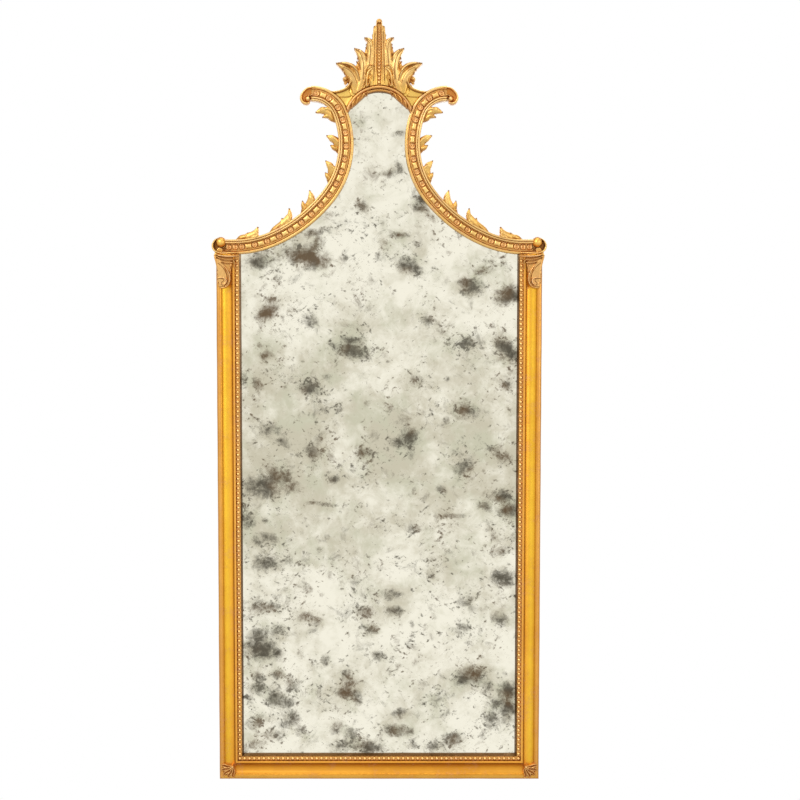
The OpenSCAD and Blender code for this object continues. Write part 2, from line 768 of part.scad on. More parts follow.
// Sprigs: place of each main tip along the head rail, how far it leans and how tall it is
sprigs = [[59, 0, 0.85], [143, 0, 1], [205, 0, 0.98], [289, 0, 1], [353, 0, 1.05], [421, -10, 1.14]];

// Height of the head rail's outer edge at x, where the path point at s is the zero of both
function rim_at(s, x) = let (r = seg_r[path_k(s)[0]] - head_half) head_half + r - sqrt(r * r - x * x);

// A sprig is two broad leaves that leave the rim slowly on one side and drop steeply on the other
module sprig(side, i) {
    s = sprigs[i][0];
    lean = sprigs[i][1];
    tall = sprig_h * sprigs[i][2];
    reach = min(40, seg_r[path_k(s)[0]] - head_half - 8);
    back_d = 9;
    front_d = head_d - 3;
    color("gold") on_side(side)
        difference() {
            on_path(s) union() {
                lobe([[reach, rim_at(s, reach) - 3], [24, rim_at(s, 24) + 1], [9 + lean / 2, head_half + 5],
                    [lean, head_half + tall]], [4, 8.5, 1], [back_d, front_d], 5);
                lobe([[reach + 4, rim_at(s, reach) - 2], [34 + lean / 2, rim_at(s, 30) + 1], [27 + lean / 2, head_half + 6],
                    [22 + lean * 0.7, head_half + tall * 0.72]], [3, 6, 1], [back_d, front_d - 4], 3);
            }
            head_rail_ground(-back_cut, head_d + 10);
        }
}

// ---- glass, back and joinery ----

module mirror_plate() {
    color("lightsteelblue")
        slab(board_seat_d + packing_t, plate_ledge_d)
            polygon(sight_outline(plate_rebate - plate_gap));
}

module setting_blocks() {
    color("saddlebrown")
        for (x = [-1, 1])
            translate([x * sight_x / 2 - 15, -plate_ledge_d, rail_w - plate_rebate])
                cube([30, plate_t, plate_gap]);
}

module plate_packing() {
    color("dimgray")
        slab(board_seat_d, board_seat_d + packing_t)
            difference() {
                polygon(sight_outline(plate_rebate - plate_gap));
                polygon(sight_outline(-4));
            }
}

module back_board() {
    back_d = board_seat_d - board_t;
    color("burlywood")
        difference() {
            slab(back_d, board_seat_d)
                polygon(sight_outline(board_rebate - plate_gap));
            for (p = screw_points)
                board_screw(p, fit_gap);
        }
}

module board_screw(p, gap) {
    r = board_screw_r + gap;
    head = board_screw_head_r + gap;
    back_d = board_seat_d - board_t;
    turned(p)
        polygon([[0, back_d - gap], [head, back_d - gap], [head, back_d], [r, back_d + head - r],
            [r, back_d + board_screw_l - r], [0, back_d + board_screw_l]]);
}

module back_board_screws() {
    color("peru")
        for (p = screw_points)
            board_screw(p, 0);
}

module stile_dowels() {
    color("wheat")
        for (side = sides)
            on_side(side) stile_dowel(0);
}

module crest_dowels() {
    color("wheat")
        for (side = sides)
            on_side(side) crest_dowel(0);
}

module mitre_splines() {
    color("wheat")
        for (side = sides)
            on_side(side) mitre_spline(0);
}

// ---- hangers ----

module strap_hanger(side) {
    color("silver") on_side(side)
        difference() {
            union() {
                translate([hanger_x - strap_w / 2, 0, hanger_z - strap_l])
                    cube([strap_w, strap_t, strap_l]);
                translate([hanger_x - strap_w / 2, knuckle_y, hanger_z])
                    rotate([0, 90, 0])
                        cylinder(r = knuckle_r, h = strap_w);
            }
            translate([hanger_x - strap_w, knuckle_y, hanger_z])
                rotate([0, 90, 0])
                    cylinder(r = knuckle_bore_r, h = 2 * strap_w);
            for (drop = hanger_screw_drops)
                hanger_screw(drop, fit_gap);
        }
}

module hanger_screw(drop, gap) {
    r = hanger_screw_r + gap;
    head = hanger_screw_head_r + gap;
    turned([hanger_x, hanger_z - drop])
        polygon([[0, -strap_t - gap], [head, -strap_t - gap], [head, -strap_t], [r, head - r - strap_t],
            [r, hanger_screw_l - strap_t - r], [0, hanger_screw_l - strap_t]]);
}

module hanger_screws() {
    color("silver")
        for (side = sides)
            for (drop = hanger_screw_drops)
                on_side(side) hanger_screw(drop, 0);
}

// A hanging ring: a straight bar in the strap's eye, two elbows, two short legs and a round bow
module ring(side) {
    bar_half = ring_half_w - ring_elbow_r;
    bow_z = -ring_elbow_r - ring_leg;
    color("silver") on_side(side)
        translate([hanger_x, knuckle_y, hanger_z])
            union() {
                translate([-bar_half, 0, 0])
                    rotate([0, 90, 0])
                        cylinder(r = ring_wire_r, h = 2 * bar_half);
                for (x = [-1, 1]) {
                    translate([x * ring_half_w, 0, bow_z])
                        cylinder(r = ring_wire_r, h = ring_leg);
                    turned([x * bar_half, -ring_elbow_r], x < 0 ? 90 : 0, 90)
                        translate([ring_elbow_r, 0]) circle(ring_wire_r);
                }
                turned([0, bow_z], 180, 180)
                    translate([ring_half_w, 0]) circle(ring_wire_r);
            }
}

stile("left");  // left_stile
stile("right");  // right_stile
bottom_rail();
head_rail("left");  // left_head_rail
head_rail("right");  // right_head_rail
crest_arch();
crest_panel();
crest_leaves();
crest_pearls();
arch_leaf("left");  // left_arch_leaf
arch_leaf("right");  // right_arch_leaf
pearl_string("left");  // left_pearl_string
pearl_string("right");  // right_pearl_string
bottom_pearl_string();
head_enrichment("left");  // left_head_enrichment
head_enrichment("right");  // right_head_enrichment
shoulder_ball("left");  // left_shoulder_ball
shoulder_ball("right");  // right_shoulder_ball
shoulder_leaf("left");  // left_shoulder_leaf
shoulder_leaf("right");  // right_shoulder_leaf
corner_leaf("left");  // left_corner_leaf
corner_leaf("right");  // right_corner_leaf
sprig("left", 0);  // left_sprig_1
sprig("left", 1);  // left_sprig_2
sprig("left", 2);  // left_sprig_3
sprig("left", 3);  // left_sprig_4
sprig("left", 4);  // left_sprig_5
sprig("left", 5);  // left_sprig_6
sprig("right", 0);  // right_sprig_1
sprig("right", 1);  // right_sprig_2
sprig("right", 2);  // right_sprig_3
sprig("right", 3);  // right_sprig_4
sprig("right", 4);  // right_sprig_5
sprig("right", 5);  // right_sprig_6
mirror_plate();
setting_blocks();
plate_packing();
back_board();
back_board_screws();
stile_dowels();
crest_dowels();
mitre_splines();
strap_hanger("left");  // left_strap_hanger
strap_hanger("right");  // right_strap_hanger
hanger_screws();
ring("left");  // left_ring
ring("right");  // right_ring
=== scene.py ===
import math
from functools import partialmethod

import bpy
import numpy as np
from bpy.props import FloatProperty, FloatVectorProperty, IntProperty, PointerProperty
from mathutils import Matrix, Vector
from mathutils.geometry import delaunay_2d_cdt, tessellate_polygon


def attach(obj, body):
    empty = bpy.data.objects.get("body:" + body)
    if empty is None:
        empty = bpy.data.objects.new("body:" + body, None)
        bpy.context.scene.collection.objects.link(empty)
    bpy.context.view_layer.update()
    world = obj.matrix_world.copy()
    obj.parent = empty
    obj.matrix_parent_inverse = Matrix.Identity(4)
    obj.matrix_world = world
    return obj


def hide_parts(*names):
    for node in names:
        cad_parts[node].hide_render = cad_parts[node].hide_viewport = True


bl_info = {
    "name": "Giltwood pier mirror",
    "version": (1, 0, 0),
    "blender": (4, 5, 0),
    "location": "3D View > Sidebar > Pier mirror",
    "description": "Builds the gilded mouldings, carving, pearls and old plate of a pier mirror",
    "category": "Object",
}

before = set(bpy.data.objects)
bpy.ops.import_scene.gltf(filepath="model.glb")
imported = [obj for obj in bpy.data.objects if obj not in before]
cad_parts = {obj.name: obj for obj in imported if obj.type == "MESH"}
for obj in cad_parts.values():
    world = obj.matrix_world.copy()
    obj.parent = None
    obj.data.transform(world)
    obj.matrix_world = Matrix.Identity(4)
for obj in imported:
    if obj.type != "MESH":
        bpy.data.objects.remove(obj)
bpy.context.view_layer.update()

MM = 0.001
FAR = 1e9              # further than any real distance
CURVE_STEP = 0.9       # millimetres between the points of a carved line

# Millimetres between the samples of each kind of carving.
FINE_STEP, LEAF_STEP, SCROLL_STEP, CREST_STEP = 0.5, 0.6, 0.7, 0.88
RAIL_STEP = 3.5        # millimetres between the rows of a straight rail
SHARP = 50             # degrees at which an edge is drawn sharp

# The photograph's camera, in metres and radians.
CAMERA_LENS, CAMERA_SHIFT = 76.58, 0.026
CAMERA_SPOT, CAMERA_TILT = (0, -3.4234, 1.0273), math.asin(0.075)

# Soft lamps: name, place, aim, width, height and power.
LAMPS = (
    ("key_light", (-2.2, -2.6, 2.9), (0, 0, 0.9), 2.2, 1.6, 62),
    ("fill_light", (2.6, -2.2, 1.5), (0, 0, 0.8), 1.8, 2.2, 22),
    ("low_light", (-0.6, -2.8, 0.05), (0, 0, 0.7), 1.6, 0.8, 9),
    ("top_light", (0.2, -0.3, 3.4), (0, 0, 0.9), 2.0, 1.2, 20),
    ("back_light", (0.4, 2.6, 1.9), (0, 0, 0.8), 2.4, 2.0, 34))
WORLD_LIGHT = 0.42     # strength of the world on the object; what the camera sees is plain white
FLOOR, FLOOR_HEIGHT = (-1600, -1200, 1600, 900), -350

FOXING_SEEN = 0.8      # foxing amount that matches the photograph
GREEN_VEIL, BROWN_FOXING = (0.60, 0.60, 0.45, 1), (0.105, 0.062, 0.026, 1)
WARM_SHARE = (0.82, 0.70, 0.54, 1)    # what shaded gold keeps of the painted colour


# ---- sizes and colours that a user would change ----

def length(name, description, millimetres):
    return FloatProperty(name=name, description=description, default=millimetres * MM, unit="LENGTH",
                         precision=4)


def angle(name, description, degrees):
    return FloatProperty(name=name, description=description, default=math.radians(degrees), unit="ROTATION",
                         subtype="ANGLE")


def colour(name, description, value):
    return FloatVectorProperty(name=name, description=description, default=value, size=3, min=0, max=1,
                               subtype="COLOR")


def share(name, description, value):
    return FloatProperty(name=name, description=description, default=value, min=0, max=1, subtype="FACTOR")


class FrameSizes(bpy.types.PropertyGroup):
    width: length("Width", "Width over the two stiles", 648)
    stile_height: length("Stile height", "Height of the stiles, up to the underside of the head", 1062)
    rail_width: length("Rail width", "Width of the stiles and the bottom rail", 48)
    rail_depth: length("Rail depth", "Depth of the stiles and the bottom rail", 36)
    pearl_radius: length("Pearl radius", "Radius of the frame pearls", 3.7)
    pearl_pitch: length("Pearl pitch", "Spacing of the frame pearls", 9.7)


class HeadSizes(bpy.types.PropertyGroup):
    width: length("Width", "Width of a head rail", 30)
    depth: length("Depth", "Depth of a head rail at its outer rim", 32)
    neck_half: length("Neck half width", "Half of the clear width at the neck", 50.7)
    shoulder_radius: length("Shoulder radius", "Centreline radius of the first arc", 200)
    shoulder_turn: angle("Shoulder turn", "Turn of the first arc", 24)
    shoulder_run: length("Shoulder run", "Straight run beside the shoulder volute", 26)
    haunch_turn: angle("Haunch turn", "Turn of the long arc", 27)
    neck_radius: length("Neck radius", "Centreline radius of the neck arc", 167.5)
    neck_turn: angle("Neck turn", "Turn of the neck arc", 60.5)
    scroll_radius: length("Scroll radius", "Centreline radius of the top scroll", 59)
    scroll_turn: angle("Scroll turn", "Turn of the top scroll", 81)
    volute_radius: length("Volute radius", "Radius of the shoulder volute", 18.4)
    volute_inset: length("Volute inset", "Distance of the volute's centre inside the stile's edge", 8)
    pad_pitch: length("Pad pitch", "Spacing of the smooth pads along a head rail", 25.9)
    band_start: length("Band start", "Length along the head rail to the seam before the first cell", 3.7)


class CrestSizes(bpy.types.PropertyGroup):
    height: length("Height", "Height of the crest above the arch", 128.5)
    arch_side: length("Arch side", "How far the arched glass edge reaches past the neck", 15.5)
    arch_rise: length("Arch rise", "Height of the arch's centre above the neck", 44)
    arch_band: length("Arch band", "Width of the arch band at the crown", 13.5)
    arch_foot: length("Arch foot", "Width of the arch band at its springing", 4.3)
    pearl_radius: length("Pearl radius", "Radius of the lowest crest pearl", 3.6)
    pearl_tip_radius: length("Top pearl radius", "Radius of the topmost crest pearl", 1.7)


class Finishes(bpy.types.PropertyGroup):
    # Painted highlight, with some rubbing: the pale gold on proud ridges.
    leaf_pale: colour("Rubbed gold", "Pale gold on rubbed ridges", (0.93, 0.69, 0.30))
    bole: colour("Bole", "Pinkish clay that shows where the leaf is worn", (0.62, 0.30, 0.17))
    # Painted shade: the dark brown that hollows take in the gilding; dust specks take it too.
    recess_shade: colour("Toning", "Dark brown painted shade in the recesses, also taken by dust specks", (0.26, 0.10, 0.018))
    silver: colour("Silvering", "Sound silvering of the plate", (0.91, 0.875, 0.74))
    veil: colour("Veil", "Buff veil of thin silvering", (0.60, 0.56, 0.43))
    foxing: colour("Foxing", "Brown-grey spots where the silvering is gone", (0.072, 0.062, 0.042))
    pine: colour("Pine", "Bare aged pine of the back", (0.42, 0.25, 0.12))
    foxing_amount: share("Foxing", "How strongly the plate is foxed", FOXING_SEEN)
    plate_seed: IntProperty(name="Plate seed", description="Seed of the plate's small spots", default=4)


def shown(*value):
    """A colour given as it looks on a screen, from 0 to 255, as the linear values that a shader takes."""
    return tuple(((v / 255 + 0.055) / 1.055) ** 2.4 if v > 10 else v / 3294 for v in value)


def sizes(group):
    """The lengths of a property group, in millimetres, and its angles in degrees."""
    found = {}
    for name in group.bl_rna.properties.keys():
        prop = group.bl_rna.properties[name]
        if prop.type == "FLOAT" and prop.array_length == 0:
            value = getattr(group, name)
            found[name] = math.degrees(value) if prop.unit == "ROTATION" else value / MM
    return found


# ---- construction lines, in millimetres, x to the right and z up; depth runs forward from the back ----

def heading(h):
    return np.array([-math.sin(math.radians(h)), math.cos(math.radians(h))])


class HeadPath:
    """Centreline of the right head rail: four tangent arcs from the shoulder to the scroll."""

    def __init__(self, f, h):
        self.half = h["width"] / 2
        turns = [h["shoulder_turn"], h["haunch_turn"], h["neck_turn"], h["scroll_turn"]]
        self.headings = [180.0]
        for turn in turns:
            self.headings.append(self.headings[-1] - turn)
        sine = [math.sin(math.radians(a)) for a in self.headings]
        neck_r, shoulder_r = h["neck_radius"], h["shoulder_radius"]
        reach = f["width"] / 2 - h["volute_inset"] - h["shoulder_run"] - h["neck_half"] - self.half
        haunch_r = (reach - neck_r + neck_r * sine[2] - shoulder_r * sine[1]) / (sine[2] - sine[1])
        self.radii = [shoulder_r, haunch_r, neck_r, h["scroll_radius"]]
        neck = np.array([h["neck_half"] + self.half + neck_r, 0.0])
        haunch = neck + (neck_r - haunch_r) * heading(self.headings[2])
        shoulder = haunch + (haunch_r - shoulder_r) * heading(self.headings[1])
        scroll = neck + (neck_r - h["scroll_radius"]) * heading(self.headings[3])
        lift = np.array([0.0, f["stile_height"] + self.half + shoulder_r - shoulder[1]])
        self.centres = [c + lift for c in (shoulder, haunch, neck, scroll)]
        self.lengths = [r * math.radians(t) for r, t in zip(self.radii, turns)]
        self.length = sum(self.lengths)
        self.run = h["shoulder_run"]
        self.neck_z = self.centres[2][1]
        self.start = self.point(0)

    def spot(self, s):
        k = 0
        while k < 3 and s > self.lengths[k]:
            s -= self.lengths[k]
            k += 1
        return k, self.headings[k] - math.degrees(s / self.radii[k])

    def heading_at(self, s):
        return 180.0 if s < 0 else self.spot(s)[1]

    def point(self, s, off=0.0):
        """The point at a length s along the path, off millimetres outside the centreline."""
        if s < 0:
            return self.start + np.array([-s, off])
        k, h = self.spot(s)
        return self.centres[k] + (self.radii[k] - off) * heading(h)

    def cover(self, x, z):
        """How far a place lies inside the glass side of the neck arc, or of the scroll past their joint."""
        joint, h = self.point(sum(self.lengths[:3])), math.radians(self.headings[3])
        later = (x - joint[0]) * math.cos(h) + (z - joint[1]) * math.sin(h) > 0
        inside = [self.radii[k] + self.half + 0.05 - np.hypot(x - self.centres[k][0], z - self.centres[k][1])
                  for k in (2, 3)]
        return np.where(later, inside[1], inside[0])

    def place(self, s, local):
        """Points drawn with x towards the shoulder and z outwards, moved to the place s on the path."""
        local = np.asarray(local, float)
        turn = math.radians(180 - self.heading_at(s))
        x_axis = np.array([math.cos(turn), -math.sin(turn)])
        z_axis = np.array([math.sin(turn), math.cos(turn)])
        return self.point(s) + local[..., :1] * x_axis + local[..., 1:2] * z_axis


def arc_between(p, q, rise, n):
    """Points on an arc from p to q that bulges to the left of the way by rise."""
    p, q = np.array(p, float), np.array(q, float)
    way = q - p
    chord = math.hypot(*way)
    side = math.copysign(1, rise)
    r = (chord * chord / 4 + rise * rise) / (2 * abs(rise))
    centre = (p + q) / 2 + np.array([-way[1], way[0]]) / chord * (rise - side * r)
    first = math.atan2(p[1] - centre[1], p[0] - centre[0])
    turns = first - side * 2 * math.asin(chord / 2 / r) * np.arange(n + 1) / n
    return list(centre + r * np.stack([np.cos(turns), np.sin(turns)], 1))


def resample(points, step):
    points = np.asarray(points, float)
    gaps = np.linalg.norm(np.diff(points, axis=0), axis=1)
    points = points[np.concatenate([[True], gaps > 1e-9])]
    along = np.concatenate([[0], np.cumsum(np.linalg.norm(np.diff(points, axis=0), axis=1))])
    n = max(2, int(round(along[-1] / step)) + 1)
    at = np.linspace(0, along[-1], n)
    return np.stack([np.interp(at, along, points[:, i]) for i in range(points.shape[1])], 1)


def softened(points, step, passes):
    """A section with its corners rounded, as gesso rounds them."""
    points = resample(points, step)
    for _ in range(passes):
        points[1:-1] = points[1:-1] * 0.5 + (points[:-2] + points[2:]) * 0.25
    return points


def curve(points, n=40):
    """A smooth curve through the points."""
    points = np.asarray(points, float)
    padded = np.vstack([2 * points[0] - points[1], points, 2 * points[-1] - points[-2]])
    per = max(4, n // (len(points) - 1))
    t = np.linspace(0, 1, per, endpoint=False)[:, None]
    out = []
    for i in range(len(points) - 1):
        a, b, c, d = padded[i:i + 4]
        bend = (2 * a - 5 * b + 4 * c - d) * t ** 2 + (3 * b - a - 3 * c + d) * t ** 3
        out.append(0.5 * (2 * b + (c - a) * t + bend))
    out.append(points[-1:])
    return resample(np.vstack(out), CURVE_STEP)


def noise(points, size, seed):
    """Smooth hand-made unevenness between -1 and 1, made of a few waves in seeded directions."""
    rng = np.random.default_rng(seed)
    total = np.zeros(len(points))
    for _ in range(7):
        direction = rng.normal(size=3)
        direction *= 2 * math.pi / (size * (0.6 + 0.9 * rng.random()) * np.linalg.norm(direction))
        total += np.sin(points @ direction + rng.random() * 6.28)
    return total / 4


# ---- meshes ----

def make_mesh(name, points, faces):
    """A mesh from points in millimetres and a list of arrays of faces with as many corners each."""
    mesh = bpy.data.meshes.new(name)
    faces = [np.asarray(f, np.int32) for f in faces if len(f)]
    corners = np.concatenate([f.ravel() for f in faces])
    counts = np.concatenate([np.full(len(f), f.shape[1], np.int32) for f in faces])
    starts = np.concatenate([[0], np.cumsum(counts)[:-1]]).astype(np.int32)
    mesh.vertices.add(len(points))
    mesh.vertices.foreach_set("co", (np.asarray(points) * MM).astype(np.float32).ravel())
    mesh.loops.add(len(corners))
    mesh.loops.foreach_set("vertex_index", corners)
    mesh.polygons.add(len(counts))
    mesh.polygons.foreach_set("loop_start", starts)
    mesh.polygons.foreach_set("loop_total", counts)
    mesh.update(calc_edges=True)
    mesh.validate()
    return mesh


def set_mask(mesh, name, values):
    """A value, or a colour held as three values, at each vertex."""
    values = np.asarray(values, np.float32)
    kind, field = ("FLOAT_VECTOR", "vector") if values.ndim > 1 else ("FLOAT", "value")
    layer = mesh.attributes.get(name) or mesh.attributes.new(name, kind, "POINT")
    layer.data.foreach_set(field, values.ravel())


def painted(at, colours):
    """Colours read from a short list of places and screen colours, blended between them."""
    places = [c[0] for c in colours]
    values = np.array([shown(*c[1]) for c in colours])
    return np.stack([np.interp(at, places, values[:, i]) for i in range(3)], 1)


def by_depth(shape, colours):
    """Colours painted on a shape by how far it stands forward, with painted shade on its deeper parts and
    painted highlight on its front.
    """
    return painted(-shape[0][:, 1], colours)


def edges_of(faces):
    pairs = [f[:, [i, (i + 1) % f.shape[1]]] for f in faces for i in range(f.shape[1])]
    return np.unique(np.sort(np.vstack(pairs), axis=1), axis=0)


def spread(values, edges, passes, keep=0.5):
    """Averages each vertex with its neighbours a number of times."""
    a, b = edges[:, 0], edges[:, 1]
    n = len(values)
    count = np.maximum(np.bincount(a, minlength=n) + np.bincount(b, minlength=n), 1)
    flat = values.reshape(n, -1).astype(float)
    for _ in range(passes):
        for i in range(flat.shape[1]):
            total = np.bincount(a, flat[b, i], n) + np.bincount(b, flat[a, i], n)
            flat[:, i] = flat[:, i] * keep + total / count * (1 - keep)
    return flat.reshape(values.shape)


def normals_of(points, faces):
    normal = np.zeros_like(points)
    for f in faces:
        v = np.cross(points[f[:, 1]] - points[f[:, 0]], points[f[:, -1]] - points[f[:, 0]])
        if f.shape[1] == 4:
            v = v + np.cross(points[f[:, 3]] - points[f[:, 2]], points[f[:, 1]] - points[f[:, 2]])
        for i in range(f.shape[1]):
            for c in range(3):
                normal[:, c] += np.bincount(f[:, i], v[:, c], len(points))
    return normal / np.maximum(np.linalg.norm(normal, axis=1, keepdims=True), 1e-9)


def relief_masks(points, faces, fine, broad):
    """How hollow each place is, and how much it stands out, at a fine and a broad scale."""
    edges = edges_of(faces)
    normal = normals_of(points, faces)
    near = spread(points, edges, fine)
    far = spread(near, edges, broad - fine)
    hollow_near = ((near - points) * normal).sum(1)
    hollow_far = ((far - points) * normal).sum(1)
    hollow = np.clip(hollow_near / 0.32, 0, 1) * 0.75 + np.clip(hollow_far / 1.8, 0, 1) * 0.5
    proud = np.clip(-hollow_near / 0.3, 0, 1) * 0.7 + np.clip(-hollow_far / 1.2, 0, 1) * 0.5
    hollow = spread(np.clip(hollow, 0, 1), edges, 1)
    return hollow, np.clip(proud, 0, 1)


def mirrored(points, faces):
    return points * (-1, 1, 1), [f[:, ::-1] for f in faces]


def finish_piece(name, shape, slot, nodes, masks, sharp=None):
    """Makes the piece's object, in its slot's finish, and hands it to its body."""
    mesh = make_mesh(name, *shape)
    mesh.materials.append(finish_named(SLOT_FINISHES[slot]))
    for key, values in masks.items():
        set_mask(mesh, key, values)
    mesh.shade_smooth()
    if sharp:
        mesh.set_sharp_from_angle(angle=math.radians(sharp))
    piece = bpy.data.objects.new(name, mesh)
    bpy.context.scene.collection.objects.link(piece)
    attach(piece, "frame")
    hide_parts(*nodes)


# ---- carving: shapes in front view, each with an underside and a top, joined in a field ----

def shaped(shape, low, high, depths):
    """A shape's function with the box, in front view, and the depths that it keeps to."""
    shape.box = (np.asarray(low, float), np.asarray(high, float))
    shape.depths = depths
    return shape


def stroke(points, widths, low, high, section, n=40):
    """A shape along a curve. Widths, undersides and tops are given at even steps along it."""
    line = curve(points, n)
    along = np.linspace(0, 1, len(line))

    def at(values):
        values = np.atleast_1d(np.asarray(values, float))
        return np.interp(along, np.linspace(0, 1, len(values)), values)

    half, under, top = at(widths), at(low), at(high)
    run = np.gradient(line, axis=0)
    run /= np.maximum(np.linalg.norm(run, axis=1, keepdims=True), 1e-9)

    def shape(x, z):
        best = np.full(x.shape, FAR)
        index = np.zeros(x.shape, int)
        for i, (cx, cz) in enumerate(line):
            d = np.hypot(x - cx, z - cz) - half[i]
            better = d < best
            best[better] = d[better]
            index[better] = i
        side = run[index, 0] * (z - line[index, 1]) - run[index, 1] * (x - line[index, 0])
        q = np.clip(side / half[index], -1, 1)
        return best, under[index], under[index] + (top[index] - under[index]) * section(q, along[index])

    margin = half.max() + 2
    return shaped(shape, line.min(0) - margin, line.max(0) + margin, (under.min(), top.max()))


def round_section(q, t):
    return np.sqrt(np.clip(1 - q * q, 0, 1))


def leaf_section(flutes=2, depth=0.2, rim=0.1, fall=0.5):
    """A carved leaf: gouge cuts run along it, its margins stand up, and its edges round over."""
    def section(q, t):
        cuts = 0.5 - 0.5 * np.cos(2 * math.pi * (q * 0.5 + 0.5) * flutes)
        keep = np.clip(t * 6, 0, 1) * np.clip((1.02 - t) * 3.5, 0, 1)
        body = 1 - depth * (1 - cuts) * keep * (1 - np.abs(q) ** 6)
        body += rim * np.clip(np.abs(q) - 0.55, 0, 1) * 2 * keep
        return body * (1 - np.abs(q) ** 7) ** fall
    return section


def flat_section(edge=0.12):
    def section(q, t):
        return 1 - edge * np.abs(q) ** 8
    return section


def carve(shapes, step, cut=None):
    """Joins the shapes and returns the closed surface's points and faces, in x, y and z."""
    low = np.min([s.box[0] for s in shapes], axis=0)
    high = np.max([s.box[1] for s in shapes], axis=0)
    depth_low = min(s.depths[0] for s in shapes) - 2 * step
    depth_high = max(s.depths[1] for s in shapes) * 1.12 + 3 * step
    xs = np.arange(low[0], high[0] + step, step)
    zs = np.arange(low[1], high[1] + step, step)
    ds = np.arange(depth_low, depth_high + step, step)
    field = np.full((len(xs), len(ds), len(zs)), 9.0, np.float32)
    for s in shapes:
        i0, i1 = np.searchsorted(xs, [s.box[0][0], s.box[1][0]])
        k0, k1 = np.searchsorted(zs, [s.box[0][1], s.box[1][1]])
        x, z = np.meshgrid(xs[i0:i1], zs[k0:k1], indexing="ij")
        away, under, top = (np.broadcast_to(v, x.shape)[:, None, :] for v in s(x, z))
        part = np.maximum(ds[None, :, None] - top, under - ds[None, :, None])
        part = np.maximum(part, away)
        window = field[i0:i1, :, k0:k1]
        np.minimum(window, part.astype(np.float32), out=window)
    if cut is not None:
        x, z = np.meshgrid(xs, zs, indexing="ij")
        np.maximum(field, cut(x, z).astype(np.float32)[:, None, :], out=field)
    points, quads = surface_net(field)
    points = points * step + np.array([xs[0], ds[0], zs[0]])
    points[:, 1] *= -1
    quads = quads[:, ::-1]
    return spread(points, edges_of([quads]), 2), [quads]


def surface_net(field):
    """One vertex in each cell that the surface crosses, and a face across each edge it crosses."""
    solid = field < 0
    nx, ny, nz = (n - 1 for n in field.shape)
    corners = [(i, j, k) for i in (0, 1) for j in (0, 1) for k in (0, 1)]
    count = sum(solid[i:i + nx, j:j + ny, k:k + nz].astype(np.int8) for i, j, k in corners)
    mixed = (count > 0) & (count < 8)
    cells = np.argwhere(mixed)
    number = np.full(mixed.shape, -1, np.int64)
    number[mixed] = np.arange(len(cells))
    total = np.zeros((len(cells), 3))
    crossings = np.zeros(len(cells))
    for a in corners:
        for axis in range(3):
            if a[axis]:
                continue
            b = tuple(v + (i == axis) for i, v in enumerate(a))
            fa = field[cells[:, 0] + a[0], cells[:, 1] + a[1], cells[:, 2] + a[2]]
            fb = field[cells[:, 0] + b[0], cells[:, 1] + b[1], cells[:, 2] + b[2]]
            hit = (fa < 0) != (fb < 0)
            t = np.where(hit, fa / np.where(hit, fa - fb, 1), 0)
            spot = np.array(a, float) + np.zeros((len(cells), 3))
            spot[:, axis] += t
            total += spot * hit[:, None]
            crossings += hit
    points = cells + total / crossings[:, None]
    quads = []
    for axis in range(3):
        u, v = [i for i in range(3) if i != axis]
        first = [slice(1, n) for n in (nx, ny, nz)]
        first[axis] = slice(0, (nx, ny, nz)[axis])
        second = list(first)
        second[axis] = slice(1, (nx, ny, nz)[axis] + 1)
        a, b = solid[tuple(first)], solid[tuple(second)]
        spots = np.argwhere(a != b)
        rising = b[tuple(spots.T)]
        spots = spots + np.array([0 if i == axis else 1 for i in range(3)])
        ring = []
        for du, dv in ((-1, -1), (0, -1), (0, 0), (-1, 0)):
            cell = spots.copy()
            cell[:, u] += du
            cell[:, v] += dv
            ring.append(number[tuple(cell.T)])
        ring = np.stack(ring, 1)
        flip = rising if axis != 1 else ~rising
        ring[flip] = ring[flip][:, ::-1]
        quads.append(ring)
    return points, np.vstack(quads)


# ---- finishes ----

class Value:
    """A number or colour that a node gives. + - and * add maths nodes to it, and | takes the larger."""

    def __init__(self, nodes, socket):
        self.nodes, self.socket = nodes, socket

    def combined(self, operation, other):
        return self.nodes.made("ShaderNodeMath", {0: self, 1: other}, operation=operation)

    __add__ = partialmethod(combined, "ADD")
    __sub__ = partialmethod(combined, "SUBTRACT")
    __mul__ = partialmethod(combined, "MULTIPLY")
    __or__ = partialmethod(combined, "MAXIMUM")


